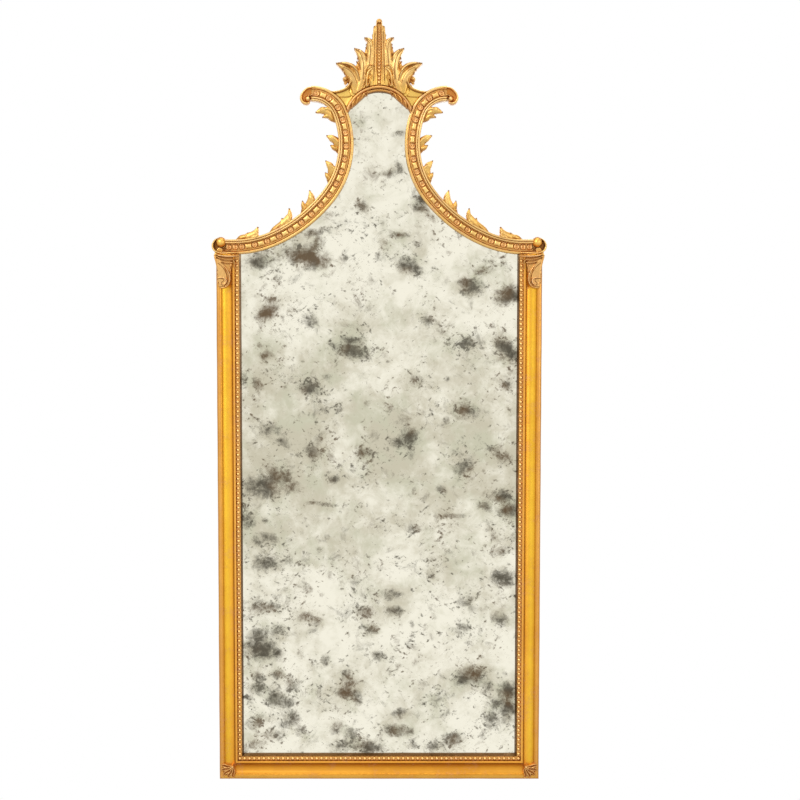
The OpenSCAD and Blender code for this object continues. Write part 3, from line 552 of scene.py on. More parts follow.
class Nodes:
    """Short ways to add the nodes that the finishes share to a tree."""

    def __init__(self, tree):
        self.tree = tree

    def add(self, kind, **settings):
        node = self.tree.nodes.new(kind)
        for key, value in settings.items():
            setattr(node, key, value)
        return node

    def put(self, socket, value):
        """Links a value to a socket, or writes a plain number or colour in it."""
        if isinstance(value, Value):
            self.tree.links.new(value.socket, socket)
        else:
            socket.default_value = value

    def values(self, node):
        return {socket.name: Value(self, socket) for socket in node.outputs}

    def made(self, kind, inputs, output=0, **settings):
        """Adds a node with its inputs linked or set, and gives one of its outputs."""
        node = self.add(kind, **settings)
        for key, value in inputs.items():
            self.put(node.inputs[key], value)
        return Value(self, node.outputs[output])

    def mix(self, factor, a, b, blend="MIX"):
        return self.made("ShaderNodeMix", {0: factor, 6: a, 7: b}, 2, data_type="RGBA", blend_type=blend,
                         clamp_factor=True)

    def blend(self, factor, a, b):
        return self.made("ShaderNodeMix", {0: factor, 2: a, 3: b}, data_type="FLOAT", clamp_factor=True)

    def ramp(self, value, low, high, out_low=0.0, out_high=1.0):
        inputs = dict(enumerate((value, low, high, out_low, out_high)))
        return self.made("ShaderNodeMapRange", inputs, interpolation_type="SMOOTHSTEP", clamp=True)

    def grain(self, vector, scale, detail=3.0, rough=0.55, distortion=0.0):
        inputs = {"Vector": vector, "Scale": scale, "Detail": detail, "Roughness": rough,
                  "Distortion": distortion}
        return self.made("ShaderNodeTexNoise", inputs)

    def place(self, kind="POINT", scale=(1, 1, 1), turn=(0, 0, 0), move=(0, 0, 0)):
        """The place on the object, stretched, turned and moved."""
        inputs = {"Vector": self.made("ShaderNodeTexCoord", {}, "Object"), "Scale": scale, "Rotation": turn,
                  "Location": move}
        return self.made("ShaderNodeMapping", inputs, vector_type=kind)

    def mask(self, name, output="Fac"):
        return self.made("ShaderNodeAttribute", {}, output, attribute_type="GEOMETRY", attribute_name=name)


class Finish(Nodes):
    """A material's tree, and ways to write its Principled shader."""

    def __init__(self, name):
        self.material = bpy.data.materials.new(name)
        self.material.use_nodes = True
        super().__init__(self.material.node_tree)
        self.shader = next(node for node in self.tree.nodes if node.type == "BSDF_PRINCIPLED")

    def surface(self, color, roughness, metallic=0.0, height=None, strength=0.0, distance=0.0):
        """Sets the look of the surface, with a bump where it is given a height, and gives the material."""
        for label, value in (("Base Color", color), ("Roughness", roughness), ("Metallic", metallic)):
            self.put(self.shader.inputs[label], value)
        if height:
            bump = {"Height": height, "Strength": strength, "Distance": distance}
            self.put(self.shader.inputs["Normal"], self.made("ShaderNodeBump", bump))
        return self.material


def new_group(name, kind, inputs, outputs):
    """A node group with sockets of each kind: its nodes, the values that come in and its output node."""
    tree = bpy.data.node_groups.new(name, kind)
    for way, sockets in (("INPUT", inputs), ("OUTPUT", outputs)):
        for socket, labels in sockets.items():
            for label in labels:
                tree.interface.new_socket(name=label, in_out=way, socket_type="NodeSocket" + socket)
    n = Nodes(tree)
    return n, n.values(n.add("NodeGroupInput")), n.add("NodeGroupOutput")


def rgba(value):
    return (*value, 1.0)


def gilding_group():
    """Worn gilding: gold that varies, painted shade in hollows, painted highlight and rubbing on proud
    places, clay where the leaf is worn, dust specks and fine unevenness.
    """
    n, into, out = new_group(
        "worn_gilding", "ShaderNodeTree",
        {"Color": ("Leaf", "Rubbed", "Warm", "Bole", "Toning"),
         "Float": ("Hollow", "Proud", "Toning amount", "Wear amount")},
        {"Color": ("Color",), "Float": ("Roughness", "Metallic", "Height")})
    broad = n.grain(n.place(), 9.0, 2.0)
    patch = n.grain(n.place(move=(3.1, 1.7, 0.4)), 38.0, 4.0, 0.6)
    fine = n.grain(n.place(move=(0.7, 4.1, 2.2)), 210.0, 4.0, 0.65)
    dust = n.grain(n.place(move=(5.7, 0.3, 1.9)), 900.0, 2.0, 0.6)
    warm = n.ramp(broad * 0.6 + patch * 0.5, 0.44, 0.68)
    gold = n.mix(warm * 0.5, into["Leaf"], into["Warm"])
    # Painted shade: gold turns warmer and darker where the hollow mask is high.
    shade = into["Hollow"] + (fine - 0.5) * 0.25
    gold = n.mix(n.ramp(shade, 0.15, 0.80, 0.0, 0.75), gold, into["Warm"])
    # Painted highlight, with some rubbing: paler gold on proud places.
    rub_and_highlight = into["Proud"] + (patch - 0.5) * 0.9
    gold = n.mix(n.ramp(rub_and_highlight, 0.15, 0.75, 0.0, 0.85), gold, into["Rubbed"])
    worn = n.ramp(fine * 0.55 + patch * 0.6, 0.60, 0.72) * into["Wear amount"]
    worn = worn * n.ramp(into["Proud"], 0.0, 0.5, 0.25, 0.9)
    gold = n.mix(worn, gold, into["Bole"])
    # Painted deep shade: dark brown in the deepest hollows, which are also rougher and less metallic; dust
    # specks take the same brown.
    deep_shade = n.ramp(shade, 0.50, 1.10) * into["Toning amount"]
    gold = n.mix(deep_shade, gold, into["Toning"])
    n.put(out.inputs["Color"], n.mix(n.ramp(dust, 0.70, 0.76, 0.0, 0.35), gold, into["Toning"]))
    n.put(out.inputs["Roughness"], n.blend(deep_shade, n.ramp(fine, 0.3, 0.7, 0.30, 0.46), 0.72))
    n.put(out.inputs["Metallic"], n.blend(worn, 1.0, 0.35) * n.blend(deep_shade, 1.0, 0.25))
    n.put(out.inputs["Height"], patch + fine * 0.45 + dust * 0.12)
    return n.tree


def gilt(name, look, recess_shade, wear):
    """Gilding that takes its gold, with painted shade and highlights, from the colours painted on the piece,
    and bare timber at the back.
    """
    n = Finish(name)
    tint = n.mask("tint", "Color")
    group = n.add("ShaderNodeGroup", node_tree=bpy.data.node_groups.get("worn_gilding") or gilding_group())
    inputs = {"Leaf": tint, "Warm": n.mix(1.0, tint, WARM_SHARE, "MULTIPLY"),
              "Rubbed": n.mix(0.45, tint, rgba(look.leaf_pale)), "Bole": rgba(look.bole),
              "Toning": rgba(look.recess_shade), "Hollow": n.mask("hollow"), "Proud": n.mask("proud"),
              "Toning amount": recess_shade, "Wear amount": wear}
    for label, value in inputs.items():
        n.put(group.inputs[label], value)
    gold = n.values(group)
    bare = n.ramp(n.made("ShaderNodeSeparateXYZ", {"Vector": n.place()}, "Y"), -0.0022, -0.0012)
    fibre = n.grain(n.place(scale=(9, 9, 1)), 26.0, 4.0, 0.6, 0.3)
    wood = n.mix(n.ramp(fibre, 0.35, 0.65), (0.30, 0.185, 0.085, 1), (0.46, 0.31, 0.155, 1))
    return n.surface(n.mix(bare, gold["Color"], wood), n.blend(bare, gold["Roughness"], 0.7),
                     n.blend(bare, gold["Metallic"] * 0.85, 0.0), gold["Height"], 0.25, 0.0006)


def old_plate(name, look):
    """Silvered glass that has foxed: a buff veil, ragged brown patches, flecks and fine specks."""
    n = Finish(name)

    def film(scale, detail, rough=0.55, distortion=0.0, move=(0, 0, 0)):
        return n.grain(n.place(scale=(1, 0.05, 1), move=move), scale, detail, rough, distortion)

    def dashes(turn):
        return n.grain(n.place("TEXTURE", (1.4, 1, 0.9), (0, turn, 0), (3, 0, turn)), 95.0, 4.0, 0.62)

    cloud = n.mask("foxing")
    drift, haze = film(9.0, 6.0, 0.62, 0.4, (4, 0, 1)), film(30.0, 6.0, 0.7, 0.4, (8, 0, 3))
    veil = n.ramp((drift - 0.5) * 2.2 + (haze - 0.5) * 1.8 + n.mask("veil") * 0.95, 0.05, 1.10)
    tone = n.ramp(film(14.0, 3.0, move=(2, 0, 6)), 0.45, 0.62, 0.0, 0.6)
    base = n.mix(veil, rgba(look.silver), n.mix(tone, rgba(look.veil), GREEN_VEIL))
    patch = cloud + (film(62.0, 9.0, 0.74, 0.4) - 0.5) * 3.2
    dark = n.ramp(patch * n.ramp(cloud, 0.05, 0.45), 0.12, 1.30, 0.0, 0.95)
    near = (film(13.0, 4.0, 0.6, move=(6, 0, 2)) - 0.5) * 0.35 + cloud * 0.12
    flecks = film(90.0, 5.0, 0.66, 0.3, (7, 0, 3)) | dashes(0.62) | dashes(-0.6)
    flecks = n.ramp(flecks + near, 0.60, 0.74, 0.0, 0.85)
    specks = n.ramp(film(330.0, 3.0, 0.6, move=(1, 0, 9)) + near, 0.67, 0.77, 0.0, 0.6)
    smudge = n.ramp(film(34.0, 7.0, 0.66, 0.6, (9, 0, 4)) + near * 0.9, 0.54, 0.80, 0.0, 0.72)
    lost = (dark | smudge | flecks | specks) * (look.foxing_amount / FOXING_SEEN)
    brown = n.mix(n.ramp(film(11.0, 2.0), 0.45, 0.62), rgba(look.foxing), BROWN_FOXING)
    n.shader.inputs["Specular IOR Level"].default_value = 0.2
    return n.surface(n.mix(lost, base, brown), n.blend(lost, 0.07, 0.42), n.blend(lost, 1.0, 0.2))


def timber(name, dark, light, scale=1.0):
    """Bare timber with upright grain, pores and stains."""
    n = Finish(name)

    def upright(size, *look):
        size *= scale
        return n.grain(n.place(scale=(size, size, 0.06 * size)), 1.0, *look)

    rings, pores, stain = upright(38, 5.0, 0.6, 1.2), upright(420, 2.0, 0.5), n.grain(n.place(), 6.0, 4.0,
            0.6)
    base = n.mix(n.ramp(rings, 0.35, 0.65), rgba(dark), rgba(light))
    base = n.mix(n.ramp(pores, 0.55, 0.72, 0.0, 0.5), base, rgba([v * 0.4 for v in dark]))
    base = n.mix(n.ramp(stain, 0.45, 0.75, 0.0, 0.45), base, rgba([v * 0.45 for v in dark]))
    return n.surface(base, n.ramp(rings, 0.3, 0.7, 0.62, 0.82), 0.0, rings + pores, 0.3, 0.0005)


def metal(name, value, roughness, tarnish=(0.2, 0.15, 0.1)):
    """Dull hardware metal with handling marks and tarnish."""
    n = Finish(name)
    rub = n.grain(n.place(), 260.0, 4.0, 0.6)
    spots = n.grain(n.place(move=(2, 2, 2)), 700.0, 3.0, 0.6)
    return n.surface(n.mix(n.ramp(spots, 0.56, 0.74, 0.0, 0.7), rgba(value), rgba(tarnish)),
                     n.ramp(rub, 0.3, 0.7, roughness * 0.75, roughness * 1.35), 1.0, rub, 0.2, 0.0002)


def felt(name, value):
    n = Finish(name)
    fibre = n.grain(n.place(), 1400.0, 3.0, 0.7)
    return n.surface(n.mix(n.ramp(fibre, 0.35, 0.7), rgba([v * 0.6 for v in value]), rgba(value)), 0.95, 0.0,
                     fibre, 0.5, 0.0003)


SLOT_FINISHES = {"gilt_frame": "moulding_gilt", "gilt_carving": "carving_gilt",
                 "mirror_plate": "old_mirror_plate"}


def finish_named(name):
    """The finish of that name, made on first use from the colours in the panel."""
    look = bpy.context.scene.pier_finishes
    makers = {
        "moulding_gilt": (gilt, look, 0.7, 0.7),
        "carving_gilt": (gilt, look, 1.0, 0.6),
        "old_mirror_plate": (old_plate, look),
        "back_pine": (timber, [v * 0.62 for v in look.pine], look.pine),
        "bare_beech": (timber, (0.36, 0.22, 0.11), (0.56, 0.37, 0.20), 1.5),
        "packing_felt": (felt, (0.09, 0.085, 0.08)),
        "hanger_steel": (metal, (0.55, 0.55, 0.54), 0.36),
        "screw_brass": (metal, (0.62, 0.44, 0.18), 0.4, (0.22, 0.12, 0.05)),
    }
    maker, *values = makers[name]
    return bpy.data.materials.get(name) or maker(name, *values)


# ---- frame mouldings ----

LEDGE = 12.0          # depth of the glass ledge behind the lip
BOARD_SEAT = 6.0      # depth of the back board's seat
BEVEL = 3.0           # width of the sight bevel
FILLET = 4.5          # width of the fillet outside the pearls
GROOVE = 1.5          # width of the groove outside the fillet
PLATE_REBATE = 8      # how far the plate's rebate reaches outside the glass edge
BOARD_REBATE = 14     # how far the board's rebate reaches outside the glass edge
HUMP = 10.0           # width of the outer hump
PEARL_SEAT = 12.0     # the pearls' seat below the rail's full depth
CHANNEL = 11          # depth of the channel in the front of a head rail
STRIP_THICK = 1.5     # thickness of the strip under pearls and pads
STRIP_HALF = 7.9      # half width of the strip in the channel
REBATE_SHARE = 0.93   # share of a head rail, up to its scroll, that has rebates
CREST_PEARLS = 24.0   # depth of the crest pearls' seat
BALL_IN, BALL_UP = 9.4, 24.4    # the shoulder ball's centre, in from the stile's edge and up from its top
GOUGE_SHADE_LINE = 1.2, 1.0           # half width and strength of a painted shade line along a gouge


def rail_front(f):
    """Front of the stiles' section: how far outside the glass edge, and depth."""
    d, w = f["rail_depth"], f["rail_width"]
    fillet = BEVEL + 2 * f["pearl_radius"] + 1.2
    groove = fillet + FILLET
    cove = groove + GROOVE
    line = [(0, LEDGE), (0, LEDGE + 2.5), (BEVEL, d - PEARL_SEAT), (fillet, d - PEARL_SEAT), (fillet, d - 5),
            (groove, d - 5), (groove, d - 8), (cove, d - 8)]
    line += arc_between((cove, d - 5.5), (w - HUMP, d - 2), -4.5, 12)
    line += arc_between((w - HUMP + 0.5, d - 1.7), (w, d - 5), 2.6, 10)
    line += [(w, 0)]
    return softened(line, 0.4, 3)


# Colours painted on the sections, part by part, by the distance in millimetres from the glass edge. Those of
# the stiles and the bottom rail began as mean colours that a scratch script measured in the photograph.
# These colours carry painted light and shade: dark brown in the sight bevel, the pearl seat and the grooves
# as painted shade, pale on the fillet and the crests as painted highlight, and on the bottom rail the upper
# side of the cove darker as painted shade.
STILE_TINTS_AND_SHADING = (
    (0, (90, 60, 20)), (3.5, (115, 75, 25)), (5, (170, 110, 30)), (11, (185, 115, 25)), (12, (240, 175, 80)),
    (15, (235, 170, 70)), (16, (190, 125, 30)), (17.5, (205, 140, 35)), (21, (240, 175, 60)),
    (30, (245, 195, 60)),
    (35.5, (230, 175, 50)), (37.5, (200, 140, 30)), (39.5, (220, 155, 60)), (43, (230, 170, 85)),
    (48, (190, 130, 50)))
RAIL_TINTS_AND_SHADING = (
    (0, (125, 90, 50)), (3, (120, 80, 30)), (5, (165, 100, 25)), (11, (180, 110, 25)), (12, (235, 170, 70)),
    (15, (235, 165, 60)), (16, (185, 110, 20)), (20, (190, 115, 20)), (26, (222, 152, 46)),
    (34, (226, 160, 55)),
    (37.5, (190, 130, 35)), (43, (228, 175, 78)), (48, (190, 120, 40)))
# Painted shade: darker at the glass edge, in the grooves of the head rail and at its outer edge.
HEAD_TINTS_AND_SHADING = (
    (0, (190, 145, 76)), (1.5, (222, 180, 104)), (3.5, (228, 188, 115)), (5, (220, 165, 90)),
    (7, (210, 150, 80)),
    (8, (185, 135, 72)), (9, (215, 165, 95)), (20.5, (215, 165, 95)), (21.5, (188, 138, 75)),
    (23, (226, 184, 115)),
    (24.5, (222, 175, 104)), (25.5, (190, 140, 74)), (26.5, (225, 182, 112)), (28.5, (230, 190, 120)),
    (30, (190, 142, 76)))
# Painted shade: a dark band where the arch meets the glass, a dark groove and a dark outer edge.
ARCH_TINTS_AND_SHADING = (
    (-16, (100, 70, 30)), (-12, (120, 80, 35)), (-10.5, (225, 160, 80)), (-8.5, (240, 185, 105)),
    (-7, (140, 95, 45)),
    (-6, (210, 155, 85)), (-3.5, (235, 182, 110)), (-1, (205, 150, 80)), (0, (150, 105, 50)))

# Colours painted on carving, by depth: painted shade on the deeper ground and painted highlight on the
# proudest parts.
VOLUTE_TINTS_AND_SHADING = ((8, (200, 145, 70)), (17, (130, 85, 35)), (20.5, (150, 100, 45)), (24, (220, 168, 88)),
                (28, (242, 200, 115)))
END_TINTS_AND_SHADING = ((8, (210, 155, 80)), (19, (200, 132, 58)), (22, (208, 142, 66)), (26, (234, 188, 106)),
             (29, (242, 202, 120)))
SPRIG_TINTS_AND_SHADING = ((10, (205, 150, 78)), (20, (190, 138, 70)), (24, (216, 168, 90)), (28, (228, 184, 104)),
               (32, (238, 202, 126)))
LEAF_TINTS_AND_SHADING = ((30, (205, 150, 75)), (35.5, (205, 152, 82)), (38, (212, 162, 92)), (40, (228, 182, 114)),
              (42, (242, 206, 150)))
CREST_TINTS_AND_SHADING = ((10, (205, 152, 80)), (22.5, (205, 156, 86)), (26, (204, 156, 86)), (28, (215, 172, 100)),
               (31.5, (224, 186, 118)),
               (35, (238, 202, 132)))
# Painted light and shade on the shoulder ball, by distance from its middle: a highlight in the middle, shade
# at the rim.
BALL_HIGHLIGHT_AND_SHADE = ((0, (248, 212, 112)), (5, (240, 192, 92)), (8.6, (206, 148, 64)), (10.6, (150, 98, 38)))
# Painted shade at the pearls' foot and painted highlight on their tops, by depth.
PEARL_TINTS_AND_SHADING = ((-0.2, (150, 96, 34)), (0.35, (204, 142, 62)), (0.8, (240, 188, 104)), (1, (248, 206, 132)))
ARCH_LEAF_TINTS_AND_SHADING = ((20, (180, 125, 60)), (24.5, (176, 120, 56)), (26.5, (230, 174, 94)),
                   (29, (242, 198, 120)))

# Back of a rail's section, with the rebates for the plate and the board, outside the glass edge.
RAIL_BACK = np.array([(BOARD_REBATE, 0), (BOARD_REBATE, BOARD_SEAT), (PLATE_REBATE, BOARD_SEAT),
                      (PLATE_REBATE, LEDGE)])


def section_faces(section):
    """Triangles that fill a section."""
    return np.array(tessellate_polygon([[Vector((u, d, 0)) for u, d in section]]))


def tube(grid, end):
    """A closed tube from rows of points; the end's faces close its first row and, reversed, its last."""
    rows, m = grid.shape[:2]
    row = np.arange(rows - 1)[:, None] * m
    here, after = row + np.arange(m), row + (np.arange(m) + 1) % m
    quads = np.stack([here, after, after + m, here + m], -1).reshape(-1, 4)
    return outward(grid.reshape(-1, 3), [quads, np.vstack([end, end[:, ::-1] + (rows - 1) * m])])


def swept(path, stations, sections):
    """Rows of points on sections, each section at its own place along a head rail."""
    rows = [[(*path.point(s, off), d) for off, d in section] for s, section in zip(stations, sections)]
    return np.array(rows)[..., [0, 2, 1]] * (1, -1, 1)


def straight_rail(f, start, end, place):
    """A rail along a straight line; start and end give how far it reaches at each point of the section."""
    section = np.vstack([rail_front(f), RAIL_BACK])
    first, last = start(section[:, 0]), end(section[:, 0])
    t = np.linspace(0, 1, int(abs(last - first).max() / RAIL_STEP) + 1)[:, None]
    along = first * (1 - t) + last * t
    return tube(place(*np.broadcast_arrays(section[:, 0], section[:, 1], along)), section_faces(section))


def outward(points, faces):
    """Turns the faces round where they point inwards, by the volume they enclose."""
    volume = sum((points[f[:, 0]] * np.cross(points[f[:, k]], points[f[:, k + 1]])).sum()
                 for f in faces for k in range(1, f.shape[1] - 1))
    return points, [f[:, ::-1] for f in faces] if volume < 0 else faces


def uneven(shape, amount, size, seed):
    """Moves a surface in and out a little, as hand work does, but leaves its back flat."""
    points, faces = shape
    share_out = np.clip(-points[:, 1] / 10, 0, 1)
    return points + normals_of(points, faces) * (noise(points, size, seed) * amount * share_out)[:,
            None], faces


def rails(f, path):
    """Shapes of the right stile and the bottom rail."""
    sight = f["width"] / 2 - f["rail_width"]
    head_edge = path.radii[0] + path.half

    def top(u):
        dx = np.clip(path.start[0] - (sight + u), 0, None)
        return f["stile_height"] + head_edge - np.sqrt(head_edge ** 2 - dx ** 2) + 0.6

    stile = straight_rail(f, lambda u: f["rail_width"] - u, top, lambda u, d,
                          a: np.stack([sight + u, -d, a], -1))
    bottom = straight_rail(f, lambda u: -(sight + u), lambda u: sight + u,
                           lambda u, d, a: np.stack([a, -d, f["rail_width"] - u], -1))
    return stile, bottom


def head_front(path, depth):
    """Front of a head rail's section: how far outside the centreline, and depth, from the glass out."""
    half = path.half
    lip, rim, floor = half - 6, -half + 8.4, depth - CHANNEL
    line = [(half, 0), (half, depth - 12)] + arc_between((half, depth - 12), (lip, depth - 9), -2.5, 6)[1:]
    line += [(lip - 1, floor), (rim - 0.2, floor), (rim - 0.5, depth - 5)]
    line += arc_between((rim - 0.6, depth - 4.6), (rim - 3.6, depth - 4.4), -1.3, 6)
    line += [(rim - 3.9, depth - 5.6)]
    line += arc_between((rim - 4.2, depth - 4.4), (-half, depth - 6), -1.9, 7)
    line += [(-half, 0)]
    return softened(line, 0.4, 2) * (-1, 1)


def head_rail(path, depth, pads):
    """The right head rail from volute to scroll, with rebates as far as the arch, and its colours with
    painted shade, darkest in a notch beside each pad.
    """
    front, glass, joint = head_front(path, depth), -path.half, sum(path.lengths[:3])
    stations = np.concatenate([np.linspace(-path.run, -2, 8), np.arange(0, joint, 2.4),
                               np.arange(path.length - path.lengths[3], path.length - 10, 1.6)])
    sections = []
    for s in stations:
        rebate = np.clip((joint * REBATE_SHARE - s) / 2.0, 0, 1) if s > 0 else 1.0
        section = np.vstack([front, RAIL_BACK * rebate + (glass, 0)])
        section[0, 1] = LEDGE * rebate
        section[1:6, 1] = np.maximum(section[1:6, 1], LEDGE * rebate)
        sections.append(section)
    grid = swept(path, stations, sections)
    across = np.broadcast_to(section[:, 0] - glass, grid.shape[:2])
    tint = painted(across.ravel(), HEAD_TINTS_AND_SHADING)
    # Painted shade: a dark notch on the lip beside each pad, where no notch is cut.
    gap = np.abs(stations[:, None] - np.asarray(pads)).min(1)[:, None]
    notch_shade = np.clip(1 - (gap / 3.6 + np.abs(across - 6.2) / 2.6), 0, 1).ravel()[:, None]
    return tube(grid, section_faces(section)), tint * (1 - notch_shade) + np.array(shown(104, 78, 34)) * notch_shade


# ---- carved pieces, drawn on the right side ----

def boss(x, z, radius, low, high, section=round_section):
    """A round shape that stands at one place."""
    def shape(px, pz):
        away = np.hypot(px - x, pz - z)
        return away - radius, low, low + (high - low) * section(np.clip(away / radius, 0, 1), 0.5)

    reach = radius + 2
    return shaped(shape, (x - reach, z - reach), (x + reach, z + reach), (low, high))


def arc(centre, radius, first, last, n=16):
    a = np.radians(np.linspace(first, last, n))
    radius = np.linspace(*radius, n) if isinstance(radius, tuple) else radius
    return np.stack([centre[0] + radius * np.cos(a), centre[1] + radius * np.sin(a)], 1)


def both_sides(shape):
    """The same shape on the left, for a carving that runs across the middle."""
    (x0, z0), (x1, z1) = shape.box
    return shaped(lambda x, z: shape(-x, z), (-x1, z0), (-x0, z1), shape.depths)


class Arch:
    """The arched band between the head rails and its two circles."""

    def __init__(self, h, c, path):
        self.glass_r = h["neck_half"] + c["arch_side"]
        self.r = self.glass_r + c["arch_foot"]
        self.foot = path.neck_z + c["arch_rise"]
        self.centre = np.array([0, self.foot])
        self.glass_centre = self.centre - [0, c["arch_band"] - c["arch_foot"]]
        self.crown = self.foot + self.r

    def outside(self, x, z):
        """How far a place lies outside the arch's outer circle."""
        return np.hypot(x - self.centre[0], z - self.centre[1]) - self.r

    def band(self):
        """The band's shape: a rounded rim outside, a bevel at the glass."""
        def shape(x, z):
            out = self.outside(x, z)
            glass = np.hypot(x - self.glass_centre[0], z - self.glass_centre[1]) - self.glass_r
            away = np.maximum(np.maximum(out, -glass), self.foot - z)
            rim = np.clip(1 - ((out + 3.3) / 3.3) ** 2, 0, 1) ** 0.5 * 8
            inner = np.clip(1 - ((out + 8.6) / 1.5) ** 2, 0, 1) ** 0.5 * 2.4
            top = 22.5 + np.maximum(rim, inner) - np.clip(2.6 - glass, 0, 2.6) * 3
            low = np.where(glass < PLATE_REBATE, LEDGE, np.where(glass < BOARD_REBATE, BOARD_SEAT, 0))
            return away, low, top

        reach = self.r + 2
        return shaped(shape, (-reach, self.foot - 1), (reach, self.crown + 2), (BOARD_SEAT, 31))

    def leaves(self):
        """Carved leaves that fill in between the glass arc and a chord on each side, below a small curl."""
        def spot(a, q):
            a = math.radians(a)
            return self.glass_centre + (self.glass_r + q) * np.array([math.cos(a), math.sin(a)])

        def chord(a):
            return self.glass_r * (1 - math.cos(math.radians(23)) / math.cos(math.radians(a - 48.2)))

        base = [spot(a, 3.4 - chord(a) / 2) for a in (72, 62, 53, 43, 34, 25)]
        curl = arc(spot(67, 1.6), 2.6, 200, -100, 14)
        found = [stroke(base, [1.2, 3.4, 4.6, 4.8, 3.4, 1.2], 14, [23, 24, 24.5, 24.5, 24, 23],
                        flat_section(0.1)),
                 stroke(curl, [1.1, 1.5, 1.5, 1.1], 14, [26, 29, 29, 27], round_section)]
        for a in (64, 52, 41, 31):
            line = [spot(a + 8, 5.4), spot(a, 4.4 - chord(a) * 0.3), spot(a - 7, 1.6 - chord(a - 7) * 0.8)]
            found.append(stroke(line, [1.8, 3.4, 1.4], 14, [25.5, 28, 25.5], leaf_section(1, 0.18, 0.05)))
        return found


# Places on the crest that carry the darkest painted shade, most of them at the tips of its leaves.
CREST_SHADE_SPOTS = ((84.5, 43), (80, 43.5), (75, 44.5), (48.5, 71.7), (44.5, 71), (40, 69), (28.3, 92.8),
              (24.5, 92), (9.9, 114),
              (72, 30.5), (69, 23), (43, 53.4), (45, 46.8), (26, 80.4), (27, 74), (26, 60.6), (71, 5))

# Painted shade lines along the gouges on the crest.
CREST_SHADE_LINES = (
    [(81, 41.4), (66, 40), (54, 36), (46, 29), (41, 22), (38, 9)], [(71, 35), (58, 28), (49, 17), (44, 4)],
    [(45, 68), (37, 60), (31.6, 46), (30.4, 30), (32, 12)],
    [(24.5, 89), (19, 81), (16.8, 66), (18, 50), (19, 38)],
    [(10.6, 8), (9.8, 60), (8.4, 104)], [(53.6, 6), (58.8, -5), (71, -12), (86, -15.4), (102, -15)],
    [(26, 46), (24.6, 62)],
    [(36.6, 30), (38.6, 44)])


